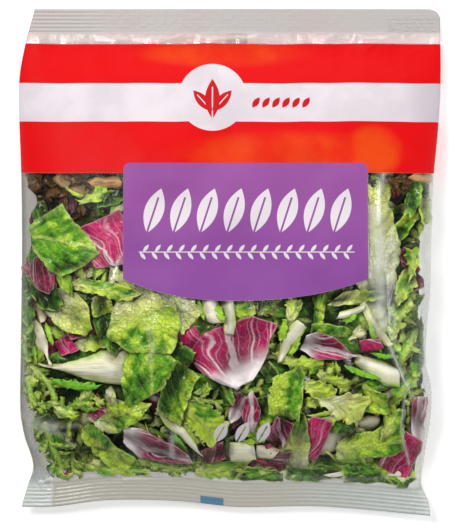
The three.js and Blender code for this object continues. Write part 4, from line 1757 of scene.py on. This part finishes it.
class PrintSettings(PropertyGroup):
    band_colour: colour("Band", "Ink of the band at the head", 229, 15, 20)
    band_over_leaves: colour("Band over leaves", "The band's ink where leaves show through", 236, 74, 22)
    red_marks: colour("Red marks", "Ink of the red marks on the stripe", 206, 24, 32)
    stripe_colour: colour("White print", "Ink of the stripe and the small marks", 233, 225, 232)
    stripe_shade: colour("White print shade", "The stripe where it lies in shade", 208, 198, 206)
    label_high: colour("Label top", "The label's ink at its upper edge", 157, 88, 162)
    label_low: colour("Label foot", "The label's ink at its lower edge", 146, 82, 163)
    mark_colour: colour("Mark", "The small mark on the foot seal", 96, 140, 170)


class LeafSettings(PropertyGroup):
    seed: whole_number("Seed", "Changes how the leaves behind are strewn", 11)
    sprigs: whole_number("Small sprigs", "Small curly bits between the leaves in front", 110)
    top_fillers: whole_number("Leaves behind", "Leaves strewn behind those in front", 150)
    under_fillers: whole_number("Leaves underneath", "Leaves against the underside", 110)
    green_dark: colour("Dark green", "The darkest leaves", 38, 90, 12)
    bronze: colour("Bronze", "Leaves tinged with brown", 102, 66, 6)
    rust: colour("Rust", "Ribs tinged with orange", 214, 128, 66)
    green_mid: colour("Green", "Most green leaves", 104, 190, 28)
    green_light: colour("Light green", "The brightest leaves", 220, 254, 74)
    heart_bright: colour("Curly rim", "Rims of the curly leaves", 232, 255, 88)
    heart_colour: colour("Heart", "Leaves near the heart", 254, 255, 150)
    vein_colour: colour("Veins", "Veins of the green leaves", 228, 250, 128)
    red_dark: colour("Dark red", "The darkest red leaves", 104, 0, 38)
    red_light: colour("Magenta", "The brightest red leaves", 206, 20, 104)
    # Painted shade: the colours that leaves go dark towards in their valleys and deep in the bag.
    green_gloom: colour("Green shadow", "Green leaves deep in the bag", 12, 28, 4)
    red_gloom: colour("Red shadow", "Red leaves deep in the bag", 50, 0, 22)
    rib_gloom: colour("Rib shadow", "Ribs deep in the bag", 92, 90, 40)
    red_vein: colour("Red leaf veins", "Veins of the red leaves", 255, 246, 246)
    rib_white: colour("Rib", "The palest ribs", 255, 248, 218)
    # Painted highlight along the middle of the ribs; the same colour is the real pale base of green leaves.
    rib_crest: colour("Rib crest", "The ribs' bright middle", 255, 255, 244)
    rib_peach: colour("Rib tint", "Warm patches of the ribs", 236, 206, 164)
    rib_lime: colour("Green rib", "The greenest ribs", 220, 232, 138)
    rib_shadow: colour("Rib threads", "Threads along the ribs", 222, 212, 168)


class StudioSettings(PropertyGroup):
    floor_colour: colour("Floor", "The table's colour", 252, 252, 252)
    floor_glow: amount("Floor glow", "Light that the table gives off", 0.36)
    sky_strength: amount("Room light", "Strength of the light all round", 0.22)
    key_power: amount("Key light", "Power of the light at the upper left", 14.4, unit="POWER")
    fill_power: amount("Fill light", "Power of the lights at the right and behind", 3.2, unit="POWER")
    camera_height: amount("Camera height", "Height of the camera", 2.5, low=0.3, unit="LENGTH")


class SaladBagSettings(PropertyGroup):
    film: PointerProperty(type=FilmSettings, name="Film", description="The clear film")
    ink: PointerProperty(type=PrintSettings, name="Print", description="The colours printed on the film")
    leaves: PointerProperty(type=LeafSettings, name="Leaves", description="The salad inside")
    studio: PointerProperty(type=StudioSettings, name="Studio", description="Floor, light and camera")


# Operators


class SALADBAG_OT_film(Operator):
    """Make the printed film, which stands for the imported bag"""

    bl_idname = "saladbag.film"
    bl_label = "Film"

    def execute(self, context):
        settings = context.scene.salad_bag
        film = make_film(settings.film, settings.ink)
        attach(film, "root")
        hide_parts("bag")
        return {"FINISHED"}


class SALADBAG_OT_leaves(Operator):
    """Lay the leaves inside the film, one mesh for each kind"""

    bl_idname = "saladbag.leaves"
    bl_label = "Leaves"

    def execute(self, context):
        make_leaves(context.scene.salad_bag.leaves)
        return {"FINISHED"}


class SALADBAG_OT_stage(Operator):
    """Add the floor, the lights and the camera"""

    bl_idname = "saladbag.stage"
    bl_label = "Stage"

    def execute(self, context):
        make_stage(context.scene, context.scene.salad_bag.studio)
        return {"FINISHED"}


def add_light(name, power):
    """One of the lights of the table, which the camera can't see."""
    place, size, tint = LIGHTS[name]
    light = bpy.data.lights.new(name, "AREA")
    light.shape = "RECTANGLE"
    light.size, light.size_y = size
    light.energy = power
    light.color = tint
    lamp = bpy.data.objects.new(name, light)
    lamp.location = place
    lamp.rotation_euler = (Vector(LIT_PLACE) - Vector(place)).to_track_quat("-Z", "Y").to_euler()
    lamp.visible_camera = False
    bpy.context.scene.collection.objects.link(lamp)


def make_stage(scene, settings):
    mesh = bpy.data.meshes.new("floor")
    corners = [(x * FLOOR_REACH, y * FLOOR_REACH, 0) for x, y in ((-1, -1), (1, -1), (1, 1), (-1, 1))]
    mesh.from_pydata(corners, [], [(0, 1, 2, 3)])
    finish = Finish("table")
    glow = {"Emission Color": tuple(settings.floor_colour), "Emission Strength": settings.floor_glow}
    surface = finish.principled({"Base Color": tuple(settings.floor_colour), "Roughness": 0.8, **glow})
    mesh.materials.append(finish.done(surface))
    floor = bpy.data.objects.new("floor", mesh)
    floor.location.z = -FLOOR_GAP
    scene.collection.objects.link(floor)

    world = bpy.data.worlds.new("room")
    world.use_nodes = True
    sky = world.node_tree.nodes["Background"]
    sky.inputs["Color"].default_value = (1.0, 1.0, 1.0, 1.0)
    sky.inputs["Strength"].default_value = settings.sky_strength
    scene.world = world

    add_light("key", settings.key_power)
    add_light("fill", settings.fill_power)
    add_light("back", settings.fill_power)

    camera = bpy.data.cameras.new("camera")
    camera.sensor_width = 36
    view_height = PHOTO_HEIGHT * PHOTO_SCALE * MM
    camera.lens = camera.sensor_width * (settings.camera_height - SEAM_HEIGHT * MM) / view_height
    eye = bpy.data.objects.new("camera", camera)
    eye.location = (PHOTO_MIDDLE[0] * MM, PHOTO_MIDDLE[1] * MM, settings.camera_height)
    scene.collection.objects.link(eye)
    scene.camera = eye
    scene.view_settings.view_transform = "Standard"


class SALADBAG_PT_sidebar(Panel):
    """Lists what the bag is made of"""

    bl_label = "Salad bag"
    bl_idname = "SALADBAG_PT_sidebar"
    bl_space_type = "VIEW_3D"
    bl_region_type = "UI"
    bl_category = "Salad bag"

    def draw(self, context):
        settings = context.scene.salad_bag
        groups = (
            (SALADBAG_OT_film, (settings.film, settings.ink)),
            (SALADBAG_OT_leaves, (settings.leaves,)),
            (SALADBAG_OT_stage, (settings.studio,)),
        )
        for operator, sources in groups:
            box = self.layout.box()
            for source in sources:
                for name in source.__annotations__:
                    box.prop(source, name)
            box.operator(operator.bl_idname)


CLASSES = (
    FilmSettings,
    PrintSettings,
    LeafSettings,
    StudioSettings,
    SaladBagSettings,
    SALADBAG_OT_film,
    SALADBAG_OT_leaves,
    SALADBAG_OT_stage,
    SALADBAG_PT_sidebar,
)


def register():
    for kind in CLASSES:
        bpy.utils.register_class(kind)
    bpy.types.Scene.salad_bag = PointerProperty(type=SaladBagSettings)


def unregister():
    del bpy.types.Scene.salad_bag
    for kind in reversed(CLASSES):
        bpy.utils.unregister_class(kind)


def main():
    register()
    bpy.ops.saladbag.film()
    bpy.ops.saladbag.leaves()
    bpy.ops.saladbag.stage()


if __name__ == "__main__":
    main()
